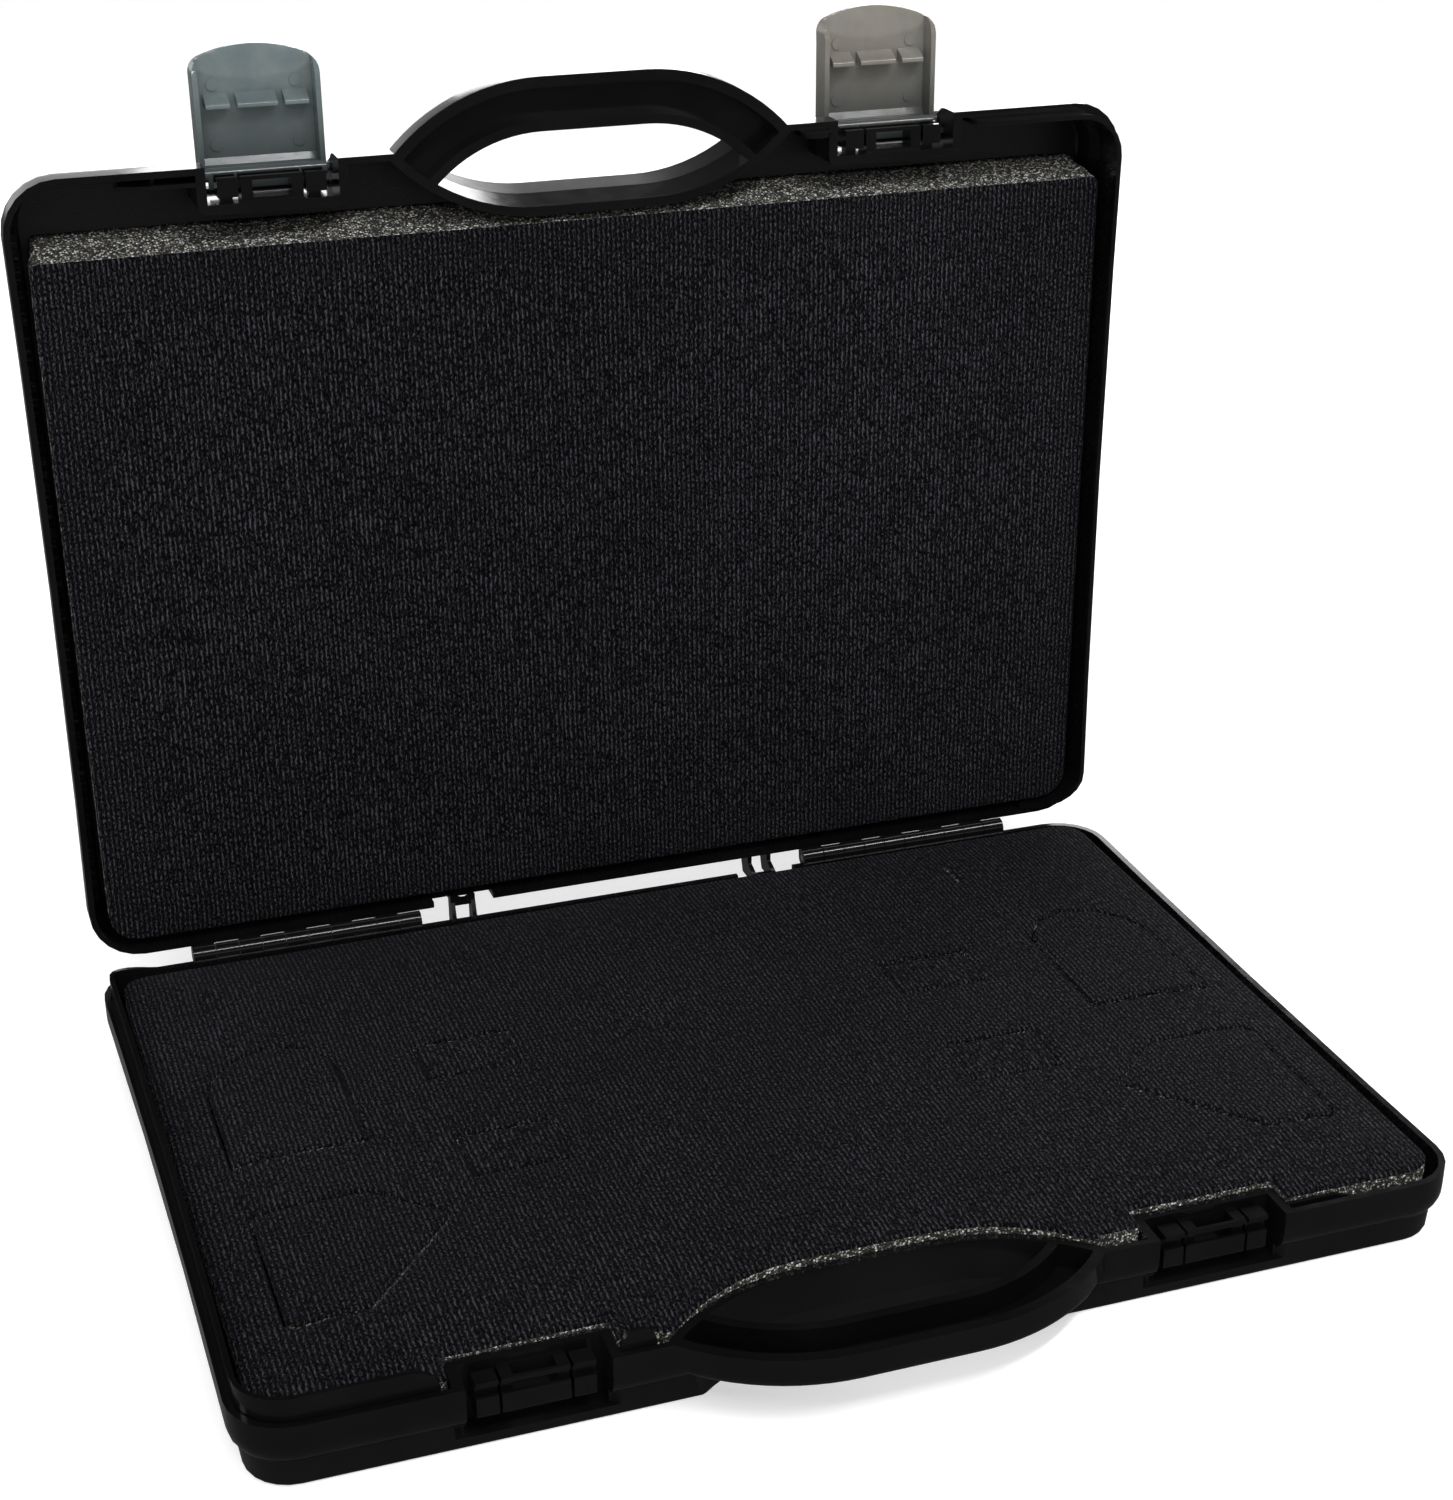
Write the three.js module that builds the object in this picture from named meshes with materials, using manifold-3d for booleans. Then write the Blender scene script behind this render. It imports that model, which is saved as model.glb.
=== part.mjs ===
// Moulded plastic attache case: two identical-outline shells hinged along the rear edge, each carrying
// half of the carrying handle, with two swing latches on the lid and foam lining in both halves.
// Frame: +Z up, front (handle) towards -Y, origin at the centre of the base's underside, millimetres.
// The lid is modelled closed over the base and then swung open about the hinge line.
import * as THREE from "three";
import { mergeVertices } from "three/addons/utils/BufferGeometryUtils.js";
import Module from "manifold-3d";

const wasm = await Module();
wasm.setup();

// ---- driving dimensions -------------------------------------------------------------------------
const WIDTH = 430;                 // outer width, left to right
const DEPTH = 305;                 // outer depth, front to rear, without handle and hinge
const PARTING = 26;                // height of the parting plane between the shells
const RIM_GAP = 0.15;              // each rim stops this far short of the parting plane
const SHELL_HEIGHT = PARTING - RIM_GAP;
const CORNER_R = 20;               // plan corner radius
const SIDE_BOW = 1.2;              // the short sides are drawn in at mid length
const WALL = 2.4;                  // shell wall
const FLOOR = 2.2;                 // shell floor
const WALL_SINK = 1.5;             // ribs and tabs start this deep inside a wall
const FRONT = -DEPTH / 2;
const REAR = DEPTH / 2;

// side profile of a shell: [inset from the rim outline, height above the outer face]
const OUTER_PROFILE = [
  [5.6, 0], [4.6, 0.35], [4.1, 1.3], [3.5, 9.4], [3.2, 10.3],
  [1.9, 11.7], [0.7, 13.6], [0.15, 16], [0, 18.5], [0, SHELL_HEIGHT],
];
const INNER_PROFILE = [
  [7.6, FLOOR], [6.7, 3.1], [6.1, 9.2], [5.2, 12.2], [3.4, 15], [2.6, 18], [WALL, SHELL_HEIGHT + 1],
];

// tongue that stands above the rim on one half of each shell
const TONGUE_INSET = 2.8;
const TONGUE_T = 1.8;
const TONGUE_HEIGHT = 8.3;
const TONGUE_START_X = 150.4;
const TONGUE_END_X = 186;
const TONGUE_ROOT = 7;
const TONGUE_WEB_SINK = 0.6;        // the web behind it overlaps the wall this far
const TONGUE_STEPS_X = [TONGUE_START_X, 151.2, 153, 156, 160, 178];
const TONGUE_RISE = [1.4, 3.8, 6, 7.6, TONGUE_HEIGHT, TONGUE_HEIGHT];
const TONGUE_FALL = [TONGUE_HEIGHT, TONGUE_HEIGHT, 7.4, 6, 4.6, 3.2, 2, 0.6];

// guide rib behind the rim, which traps the other shell's tongue
const GUIDE_PLAY = 0.35;
const GUIDE_T = 1.5;
const GUIDE_BEND_X = 165;
const GUIDE_END_X = 174.5;
const GUIDE_END_DROP = 3;
const GUIDE_BOTTOM = 15;
const GUIDE_FEET_X = [160, 173];
const GUIDE_FEET_DROP = 9.5;        // the feet's tops below the rim

// half-round locating tab on the rim, between a latch recess and the handle
const LOCATOR_X = -86.3;
const LOCATOR_R = 6;
const LOCATOR_RISE = 0.8;           // height of its centre above the rim
const LOCATOR_ROOT = 6;
const LOCATOR_STEM = 2;

// handle: concentric arcs in plan, flat in the middle
const GRIP_FLAT = 20;              // half length of the straight middle
const GRIP_CENTRE_Y = -99.6;
const GRIP_OUTER_R = 76.6;
const GRIP_INNER_R = 57;
const GRIP_OUTER_WALL = 4;
const GRIP_INNER_WALL = 3.5;
const GRIP_DEPTH = 11.5;
const GRIP_FLOOR = 2.5;
const GRIP_ROUND = 3.2;
const GRIP_END = { outer: 2.2, inner: 13.2 };          // where its arcs end, behind the front wall
const GRIP_CHANNEL_END = { outer: 5, inner: 14 };
const GRIP_ROUND_LEVELS = [[1, 0], [0.45, 0.6], [0.12, 1.9], [0, 3.6]];   // [share of rounding, height]
const MARK_T = 0.9;                 // plain ejector discs and plate on the channel's floor
const MARK_SINK = 0.5;
const MARK_DISC_X = 18.5;
const MARK_DISC_R = 4;
const MARK_PLATE = { half: 12.5, reach: 4.3, drop: 0.1 };

// hand clearance bay: the front wall curves into the case behind the handle
const BAY_FLAT = 22;
const BAY_CENTRE_Y = -201;
const BAY_RIM_R = 71.5;
const BAY_FLOOR_R = 68.1;
const BAY_WALL = 3.4;

// latch recess in the front wall
const LATCH_X = 119.6;
const RECESS_HALF = 23.75;
const RECESS_WALL = 3.5;
const RECESS_BACK_Y = -139.3;
const RECESS_FLOOR = 4.5;
const RECESS_SCOOP = 8;            // widening of the finger scoop below the band

// keeper that the latch hooks under: a framed window between two tabs, grooved right across
const KEEPER_TOP = 2.3;            // below the rim
const KEEPER_FRONT_Y = -148;
const KEEPER_HALF = 11.2;
const KEEPER_WINDOW_HALF = 7.1;
const KEEPER_BAR = 1.9;            // height of the catch bar
const KEEPER_BAR_T = 1.4;
const KEEPER_WINDOW_DEPTH = 9;
const KEEPER_SILL = 4;             // the lower opening starts this far below the top
const KEEPER_DEPTH = { base: 13, lid: 8.2 };
const GROOVE_DEPTH = 2.2;
const GROOVE_BOTTOM = 5.7;         // below the keeper's top
const BRIDGE_BACK = 1.1;           // the window stops this far in front of the recess's back wall
const TAB_IN = 12.2;
const TAB_OUT = 19.6;
const TAB_GAP = 1.7;               // between a tab and the back wall, bridged lower down
const BRIDGE_INSET = 1.5;
const BRIDGE_DROP = 4.5;

// latch, measured from its pivot: u towards the tip, w outwards
const PIVOT_Y = -146;
const PIVOT_Z = 44.2;
const LATCH_HALF = 22.8;
const LATCH_OUT = 8.5;
const LATCH_T = 2;
const LATCH_LENGTH = 43.2;
const LATCH_SIDE_T = 1.9;
const LATCH_SIDE_W = -1.1;
const BARREL_R = 2.6;
const STUB_R = 1.5;
const STUB_REACH = 1.9;            // length of a stub inside the recess's side wall
const BORE_REACH = 2.2;
const RUNNING = 0.08;              // radial clearance of a pin in its hole
const TAIL_HALF = 20.4;
const TAIL_LENGTH = 4.8;

// tip of the latch: it flares outwards, and the scoop's edge curves across the width
const LIP_FLARE = 2.6;
const LIP_T = 1.3;
const SCOOP_MIDDLE = 30.5;
const SCOOP_SIDE = 36;
const TIP_ARC_R = 55;
const TIP_CORNER_R = 5.5;

// hooks inside the latch: slanted barbs that narrow towards the case
const HOOK_TOP = 22.65;
const HOOK_ROOT_T = 4.6;
const HOOK_TIP_T = 1.7;
const HOOK_TIP_W = 0.8;
const HOOK_MIDDLE_HALF = 7.2;
const HOOK_SIDE = [9.9, 18.6];

// side wall of the latch, as [down from the pivot, forwards of it]
const SIDE_EDGE = LATCH_OUT - 0.3;
const SIDE_PROFILE = [
  [-2.2, LATCH_OUT - 1.7], [-2.2, 0.6], [-1.4, LATCH_SIDE_W], [33, LATCH_SIDE_W], [36.4, 0.2],
  [38.6, 3], [39.6, SIDE_EDGE], [33, SIDE_EDGE], [0.6, SIDE_EDGE],
];

// ejector marks on the latch's inner face, as [across, down from the pivot]
const EJECTOR_R = 2.2;
const EJECTOR_T = 0.8;
const EJECTORS = [[-15, 9], [15, 9], [-15, 30.2], [15, 30.2]];

// hinge
const HINGE_Y = REAR + 4.2;
const HINGE_Z = PARTING;
const KNUCKLE_R = 3.7;
const KNUCKLE_PITCH = 9.35;
const KNUCKLE_COUNT = 10;
const KNUCKLE_GAP = 0.35;
const HINGE_START_X = 83.5;        // inner end of each knuckle group
const PIN_R = 1.5;
const LID_OPEN = Math.PI / 2;

// stop brackets behind the rear wall, one per shell, on opposite sides
const STOP_X = 65;
const STOP_HALF = 5.2;
const STOP_CHEEK = 1.8;
const NOTCH_HALF = 12.5;
const NOTCH_DEPTH = 8;
const STOP_PLAY = 0.06;             // between the bracket's top and the other shell's pad
const STOP_FOOT_Z = 13;             // lower end of the cheeks at the wall
const STOP_KNEE_Z = 17.5;           // and at their rear edge
const STOP_SHOULDER_Z = 24;
const STOP_REAR_Y = 163;
const STOP_TOP_Y = 158.6;
const STOP_WAIST_Y = 156.6;
const STOP_BAR = { y: 158.9, t: 1.8 };
const STOP_PAD_DROP = 2;
const STOP_HOLE_R = 3.4;
const STOP_HOLE_DROP = 5.2;         // centre of the pad's half-round hole below the rim

// foam
const FOAM_GAP = 0.4;
const FACING_T = 1.4;
const LINING_RECESS = 0.55;        // facings sit this far back from the parting plane
const FOAM_HALF_W = 207.2;
const FOAM_REAR = 146.2;
const BASE_FOAM_FRONT = -145.4;
const LID_FOAM_FRONT = -123.2;
const LID_FOAM_LEAN = 5.5;
const STEP_TOP = 16;               // the shells narrow below this height, and so does the foam
const STEP_TRIM = 1.6;
const FOAM_CORNER = 11;
const LID_FOAM_CORNER = 3;         // the lid's pad has sharper corners at its free front edge
const POCKET_DEPTH = 16;
const CUT_GAP = 0.35;
const LOCATOR_ROOM = { x: 86, half: 9, back: 8.4 };    // cut out of the foam round each locating tab

// ---- solid helpers ------------------------------------------------------------------------------
function toSolid(geometry) {
  const bare = geometry.index ? geometry.toNonIndexed() : geometry.clone();
  bare.deleteAttribute("normal");
  bare.deleteAttribute("uv");
  const g = mergeVertices(bare, 1e-4);
  const mesh = new wasm.Mesh({
    numProp: 3,
    vertProperties: new Float32Array(g.attributes.position.array),
    triVerts: new Uint32Array(g.index.array),
  });
  return new wasm.Manifold(mesh);
}

function toGeometry(solid) {
  const mesh = solid.getMesh();
  const g = new THREE.BufferGeometry();
  g.setAttribute("position", new THREE.BufferAttribute(new Float32Array(mesh.vertProperties), 3));
  g.setIndex(new THREE.BufferAttribute(new Uint32Array(mesh.triVerts), 1));
  g.computeVertexNormals();
  return g;
}

function signedArea(points) {
  let a = 0;
  points.forEach((p, i) => {
    const q = points[(i + 1) % points.length];
    a += p[0] * q[1] - q[0] * p[1];
  });
  return a / 2;
}

// Skin through a stack of rings with equal point counts; every ring is [[x, y], ...] with one height.
function loftGeometry(levels) {
  const flip = signedArea(levels[0].ring) < 0;
  const rings = levels.map((l) => (flip ? [...l.ring].reverse() : l.ring));
  const n = rings[0].length;
  const pos = [];
  rings.forEach((ring, k) => ring.forEach(([x, y]) => pos.push(x, y, levels[k].z)));
  const idx = [];
  for (let k = 0; k + 1 < rings.length; k += 1) {
    for (let i = 0; i < n; i += 1) {
      const j = (i + 1) % n;
      const a = k * n + i;
      const b = k * n + j;
      idx.push(a, b, b + n, a, b + n, a + n);
    }
  }
  const cap = (ring, offset, up) => {
    const contour = ring.map(([x, y]) => new THREE.Vector2(x, y));
    THREE.ShapeUtils.triangulateShape(contour, []).forEach(([a, b, c]) => {
      if (up) idx.push(offset + a, offset + b, offset + c);
      else idx.push(offset + a, offset + c, offset + b);
    });
  };
  cap(rings[0], 0, false);
  cap(rings[rings.length - 1], (rings.length - 1) * n, true);
  const g = new THREE.BufferGeometry();
  g.setAttribute("position", new THREE.Float32BufferAttribute(pos, 3));
  g.setIndex(idx);
  return g;
}

function loft(levels) {
  return toSolid(loftGeometry(levels));
}

// Turns a shape built over the (y, z) plane so that its height runs along x.
function alongX(geometry, x0 = 0) {
  return geometry.applyMatrix4(new THREE.Matrix4().set(0, 0, 1, x0, 1, 0, 0, 0, 0, 1, 0, 0, 0, 0, 0, 1));
}

function loftAlongX(levels) {
  return toSolid(alongX(loftGeometry(levels)));
}

function prism(ring, z0, z1) {
  return loft([{ ring, z: z0 }, { ring, z: z1 }]);
}

function box(x0, x1, y0, y1, z0, z1) {
  const g = new THREE.BoxGeometry(x1 - x0, y1 - y0, z1 - z0);
  g.translate((x0 + x1) / 2, (y0 + y1) / 2, (z0 + z1) / 2);
  return toSolid(g);
}

// Profile in the (y, z) plane swept along x.
function barAlongX(profile, x0, x1) {
  const g = new THREE.ExtrudeGeometry(new THREE.Shape(profile.map(([y, z]) => new THREE.Vector2(y, z))), {
    depth: x1 - x0,
    bevelEnabled: false,
  });
  return toSolid(alongX(g, x0));
}

function cylinderX(r, x0, x1, y, z, sides = 24) {
  const g = new THREE.CylinderGeometry(r, r, x1 - x0, sides);
  g.rotateZ(Math.PI / 2);
  g.translate((x0 + x1) / 2, y, z);
  return toSolid(g);
}

function cylinderZ(r, x, y, z0, z1, sides = 20) {
  const g = new THREE.CylinderGeometry(r, r, z1 - z0, sides);
  g.rotateX(Math.PI / 2);
  g.translate(x, y, (z0 + z1) / 2);
  return toSolid(g);
}

function union(parts) {
  return parts.reduce((a, b) => a.add(b));
}

// ---- plan outlines ------------------------------------------------------------------------------
function arcPoints(cx, cy, r, a0, a1, steps) {
  return Array.from({ length: steps + 1 }, (_, i) => {
    const a = a0 + ((a1 - a0) * i) / steps;
    return [cx + r * Math.cos(a), cy + r * Math.sin(a)];
  });
}

// Rounded rectangle whose short sides are drawn in by the bow.
function outline(inset, bow = SIDE_BOW) {
  const hw = WIDTH / 2 - inset;
  const hd = DEPTH / 2 - inset;
  const r = CORNER_R - inset;
  const cx = hw - r;
  const cy = hd - r;
  const side = [-0.66, -0.33, 0, 0.33, 0.66].map((t) => [hw - bow * (1 - t * t), cy * t]);
  const right = [
    ...arcPoints(cx, -cy, r, -Math.PI / 2, 0, 6),
    ...side,
    ...arcPoints(cx, cy, r, 0, Math.PI / 2, 6),
  ];
  const left = right.map(([x, y]) => [-x, -y]);
  return [...right, ...left];
}

// Rectangle with its own corner radius at the front (y0) and at the rear (y1).
function roundedRect(x0, x1, y0, y1, front, rear = front) {
  const q = Math.PI / 2;
  const steps = 4;
  return [
    ...arcPoints(x1 - front, y0 + front, front, -q, 0, steps),
    ...arcPoints(x1 - rear, y1 - rear, rear, 0, q, steps),
    ...arcPoints(x0 + rear, y1 - rear, rear, q, 2 * q, steps),
    ...arcPoints(x0 + front, y0 + front, front, 2 * q, 3 * q, steps),
  ];
}

// Half of a grip arc from the middle of the handle out to the height y.
function gripArc(r, endY, steps = 12) {
  const end = Math.acos((GRIP_CENTRE_Y - endY) / r);
  const half = Array.from({ length: steps + 1 }, (_, i) => {
    const a = (end * i) / steps;
    return [GRIP_FLAT + r * Math.sin(a), GRIP_CENTRE_Y - r * Math.cos(a)];
  });
  return [...half.map(([x, y]) => [-x, y]).reverse(), ...half];
}

function gripBand(outerR, innerR, outerEndY, innerEndY) {
  return [...gripArc(outerR, outerEndY), ...gripArc(innerR, innerEndY).reverse()];
}

// Curve of the bay wall out to the height y.
function bayArc(r, endY, steps = 12) {
  const end = Math.acos((endY - BAY_CENTRE_Y) / r);
  const half = Array.from({ length: steps + 1 }, (_, i) => {
    const a = (end * i) / steps;
    return [BAY_FLAT + r * Math.sin(a), BAY_CENTRE_Y + r * Math.cos(a)];
  });
  return [...half.map(([x, y]) => [-x, y]).reverse(), ...half];
}

// ---- shell --------------------------------------------------------------------------------------
function shellTray() {
  const outer = loft(OUTER_PROFILE.map(([inset, z]) => ({ ring: outline(inset), z })));
  const inner = loft(INNER_PROFILE.map(([inset, z]) => ({ ring: outline(inset), z })));
  return { outer, tray: outer.subtract(inner) };
}

function bayCut() {
  const far = FRONT - 12;
  const level = (r, z) => ({ ring: bayArc(r, far), z });
  return loft([level(BAY_FLOOR_R, -1), level(BAY_RIM_R, SHELL_HEIGHT + 1)]);
}

function bayWall(outer) {
  const far = FRONT - 6;
  const level = (r, z) => ({
    ring: [...bayArc(r, far), ...bayArc(r + BAY_WALL, far).reverse()],
    z,
  });
  return loft([level(BAY_FLOOR_R, 0), level(BAY_RIM_R, SHELL_HEIGHT)]).intersect(outer);
}

function handleHalf() {
  const top = SHELL_HEIGHT;
  const bottom = top - GRIP_DEPTH;
  const level = (trim, z) => ({
    ring: gripBand(
      GRIP_OUTER_R - trim, GRIP_INNER_R + 0.6 * trim, FRONT + GRIP_END.outer, FRONT + GRIP_END.inner,
    ),
    z,
  });
  const body = loft([
    ...GRIP_ROUND_LEVELS.map(([share, height]) => level(GRIP_ROUND * share, bottom + height)),
    level(0, top),
  ]);
  const channelRing = gripBand(
    GRIP_OUTER_R - GRIP_OUTER_WALL, GRIP_INNER_R + GRIP_INNER_WALL,
    FRONT + GRIP_CHANNEL_END.outer, FRONT + GRIP_CHANNEL_END.inner,
  );
  const inside = prism([...bayArc(BAY_RIM_R, FRONT - 12), [90, -110], [-90, -110]], 0, top + 2);
  const channel = prism(channelRing, bottom + GRIP_FLOOR, top + 1).subtract(inside);
  return { body, channel };
}

function handleMarks() {
  const z0 = SHELL_HEIGHT - GRIP_DEPTH + GRIP_FLOOR - MARK_SINK;
  const z1 = z0 + MARK_T;
  const midY = GRIP_CENTRE_Y - (GRIP_OUTER_R - GRIP_OUTER_WALL + GRIP_INNER_R + GRIP_INNER_WALL) / 2;
  const discs = [-MARK_DISC_X, MARK_DISC_X].map((x) => cylinderZ(MARK_DISC_R, x, midY, z0, z1));
  const { half, reach, drop } = MARK_PLATE;
  const plate = box(-half, half, midY - reach, midY + reach, z0, z1 - drop);
  return union([...discs, plate]);
}

// Strip that follows one half of the rim, with its own top height at every station.
function tongue() {
  const hd = DEPTH / 2;
  const cx = WIDTH / 2 - CORNER_R;
  const cy = hd - CORNER_R;
  const q = Math.PI / 2;
  const path = (inset) => {
    const r = CORNER_R - inset;
    const hw = WIDTH / 2 - inset;
    const y = -(hd - inset);
    const front = TONGUE_STEPS_X.map((x) => [-x, y]);
    const side = [-0.66, -0.33, 0, 0.33, 0.66].map((t) => [-hw + SIDE_BOW * (1 - t * t), cy * t]);
    return [
      ...front,
      ...arcPoints(-cx, -cy, r, -q, -2 * q, 6),
      ...side,
      ...arcPoints(-cx, cy, r, 2 * q, q, 6),
      [-TONGUE_END_X, -y],
    ];
  };
  const outer = path(TONGUE_INSET);
  const inner = path(TONGUE_INSET + TONGUE_T);
  const tops = outer.map((_, i) => {
    if (i < TONGUE_RISE.length) return TONGUE_RISE[i];
    const back = i - (outer.length - TONGUE_FALL.length);
    return back >= 0 ? TONGUE_FALL[back] : TONGUE_HEIGHT;
  });
  const pos = [];
  const idx = [];
  const z0 = SHELL_HEIGHT - TONGUE_ROOT;
  outer.forEach((p, i) => {
    const s = inner[i];
    const z1 = SHELL_HEIGHT + tops[i];
    pos.push(p[0], p[1], z0, s[0], s[1], z0, s[0], s[1], z1, p[0], p[1], z1);
  });
  const last = (outer.length - 1) * 4;
  for (let i = 0; i + 1 < outer.length; i += 1) {
    for (let k = 0; k < 4; k += 1) {
      const a = i * 4 + k;
      const b = i * 4 + ((k + 1) % 4);
      idx.push(a, a + 4, b, b, a + 4, b + 4);
    }
  }
  idx.push(0, 1, 2, 0, 2, 3, last, last + 2, last + 1, last, last + 3, last + 2);
  const g = new THREE.BufferGeometry();
  g.setAttribute("position", new THREE.Float32BufferAttribute(pos, 3));
  g.setIndex(idx);
  let solid = toSolid(g);
  if (solid.volume() < 0) {
    for (let i = 0; i < idx.length; i += 3) [idx[i + 1], idx[i + 2]] = [idx[i + 2], idx[i + 1]];
    g.setIndex(idx);
    solid = toSolid(g);
  }
  return solid;
}

// Web that ties the tongue's root to the wall, following the same half of the rim.
function tongueRoot() {
  const band = loft([
    { ring: outline(WALL - TONGUE_WEB_SINK), z: SHELL_HEIGHT - TONGUE_ROOT },
    { ring: outline(WALL - TONGUE_WEB_SINK), z: SHELL_HEIGHT - 0.5 },
  ]).subtract(loft([
    { ring: outline(TONGUE_INSET + TONGUE_T), z: SHELL_HEIGHT - TONGUE_ROOT - 1 },
    { ring: outline(TONGUE_INSET + TONGUE_T), z: SHELL_HEIGHT + 1 },
  ]));
  const keep = box(-WIDTH, -TONGUE_START_X, -DEPTH, REAR - CORNER_R, 0, SHELL_HEIGHT);
  return band.intersect(keep);
}

// Rib behind the rim that traps the other shell's tongue, next to the latch recess.
function guideRib() {
  const y0 = FRONT + TONGUE_INSET + TONGUE_T + GUIDE_PLAY;
  const x1 = LATCH_X + RECESS_HALF + RECESS_WALL - 1;
  const ring = [
    [x1, SHELL_HEIGHT], [GUIDE_BEND_X, SHELL_HEIGHT], [GUIDE_END_X, SHELL_HEIGHT - GUIDE_END_DROP],
    [GUIDE_END_X, GUIDE_BOTTOM], [x1, GUIDE_BOTTOM],
  ];
  const g = new THREE.ExtrudeGeometry(new THREE.Shape(ring.map(([x, z]) => new THREE.Vector2(x, z))), {
    depth: GUIDE_T,
    bevelEnabled: false,
  });
  g.rotateX(Math.PI / 2);
  g.translate(0, y0 + GUIDE_T, 0);
  const feetTop = SHELL_HEIGHT - GUIDE_FEET_DROP;
  const feet = GUIDE_FEET_X.map((x) => (
    box(x, x + GUIDE_T, FRONT + WALL_SINK, y0 + 0.5, GUIDE_BOTTOM, feetTop)
  ));
  return union([toSolid(g), ...feet]);
}

// Half-round locating tab on the rim between a latch recess and the handle.
function locatingTab() {
  const x = LOCATOR_X;
  const r = LOCATOR_R;
  const y = FRONT + TONGUE_INSET;
  const disc = new THREE.CylinderGeometry(r, r, TONGUE_T, 32);
  const centre = SHELL_HEIGHT + LOCATOR_RISE;
  disc.translate(x, y + TONGUE_T / 2, centre);
  const rootTop = SHELL_HEIGHT - 0.5;
  const root = box(x - r, x + r, FRONT + WALL_SINK, y + TONGUE_T, SHELL_HEIGHT - LOCATOR_ROOT, rootTop);
  const stem = box(x - r, x + r, y, y + TONGUE_T, SHELL_HEIGHT - LOCATOR_STEM, centre);
  return union([toSolid(disc), root, stem]);
}

function recessFrame(cx, outer) {
  const half = RECESS_HALF + RECESS_WALL;
  const back = RECESS_BACK_Y + RECESS_WALL;
  const ring = roundedRect(cx - half, cx + half, FRONT - 6, back, 3);
  return prism(ring, 0, SHELL_HEIGHT).intersect(outer);
}

function recessCut(cx, role) {
  const floor = role === "lid" ? -1 : RECESS_FLOOR;
  const x0 = cx - RECESS_HALF;
  const x1 = cx + RECESS_HALF;
  const back = role === "lid" ? RECESS_BACK_Y - 1.2 : RECESS_BACK_Y;
  const cuts = [
    box(x0, x1, FRONT - 10, RECESS_BACK_Y, RECESS_FLOOR, SHELL_HEIGHT + 1),
    box(x0, x1, FRONT - 10, back, floor, RECESS_FLOOR + 1),
  ];
  const s = RECESS_SCOOP;
  const scoopBack = FRONT + 6.2;
  const scoop = [
    [x0 - s, FRONT - 1], [x1 + s, FRONT - 1], [x1 + 1, scoopBack], [x0 - 1, scoopBack],
  ];
  cuts.push(prism(scoop, role === "lid" ? -1 : RECESS_FLOOR, 9.6));
  return union(cuts);
}

function keeper(cx, role) {
  const top = SHELL_HEIGHT - KEEPER_TOP;
  const bottom = top - KEEPER_DEPTH[role];
  const back = RECESS_BACK_Y + 1;
  const front = KEEPER_FRONT_Y;
  const grooveY = front + GROOVE_DEPTH;
  const grooveTop = top - KEEPER_BAR;
  const grooveBottom = top - GROOVE_BOTTOM;
  const windowBack = RECESS_BACK_Y - BRIDGE_BACK;
  const w = KEEPER_WINDOW_HALF;
  const groove = (x0, x1) => box(x0 - 1, x1 + 1, front - 1, grooveY, grooveBottom, grooveTop);
  const body = box(cx - KEEPER_HALF, cx + KEEPER_HALF, front, back, bottom, top)
    .subtract(box(cx - w, cx + w, front + KEEPER_BAR_T, windowBack, top - KEEPER_WINDOW_DEPTH, top + 1))
    .subtract(box(cx - w, cx + w, front + KEEPER_BAR_T, windowBack, bottom - 1, top - KEEPER_SILL))
    .subtract(groove(cx - KEEPER_HALF, cx + KEEPER_HALF));
  const tabs = [[-TAB_OUT, -TAB_IN], [TAB_IN, TAB_OUT]].map(([x0, x1]) => {
    const tab = box(cx + x0, cx + x1, front, RECESS_BACK_Y - TAB_GAP, bottom, top);
    const bridge = box(
      cx + x0 + BRIDGE_INSET, cx + x1 - BRIDGE_INSET,
      RECESS_BACK_Y - TAB_GAP - 0.8, back, bottom, top - BRIDGE_DROP,
    );
    return union([tab, bridge]).subtract(groove(cx + x0, cx + x1));
  });
  return union([body, ...tabs]);
}

function knuckle(x0, x1) {
  const barrel = cylinderX(KNUCKLE_R, x0, x1, HINGE_Y, HINGE_Z);
  const web = box(x0, x1, REAR - WALL + 0.4, HINGE_Y, HINGE_Z - KNUCKLE_R, HINGE_Z - 0.2);
  return barrel.add(web);
}

// Knuckles alternate between the shells along each group; this returns the base's set.
function knuckles() {
  const parts = [];
  [-1, 1].forEach((side) => {
    const start = side < 0 ? -HINGE_START_X - KNUCKLE_COUNT * KNUCKLE_PITCH : HINGE_START_X;
    for (let i = 1; i < KNUCKLE_COUNT; i += 2) {
      const x0 = start + i * KNUCKLE_PITCH + KNUCKLE_GAP / 2;
      parts.push(knuckle(x0, x0 + KNUCKLE_PITCH - KNUCKLE_GAP));
    }
  });
  return union(parts);
}

function pinHoles() {
  const length = KNUCKLE_COUNT * KNUCKLE_PITCH;
  const holes = [-HINGE_START_X - length, HINGE_START_X].map((x) => (
    cylinderX(PIN_R + RUNNING, x - 1, x + length + 1, HINGE_Y, HINGE_Z)
  ));
  return union(holes);
}

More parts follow.
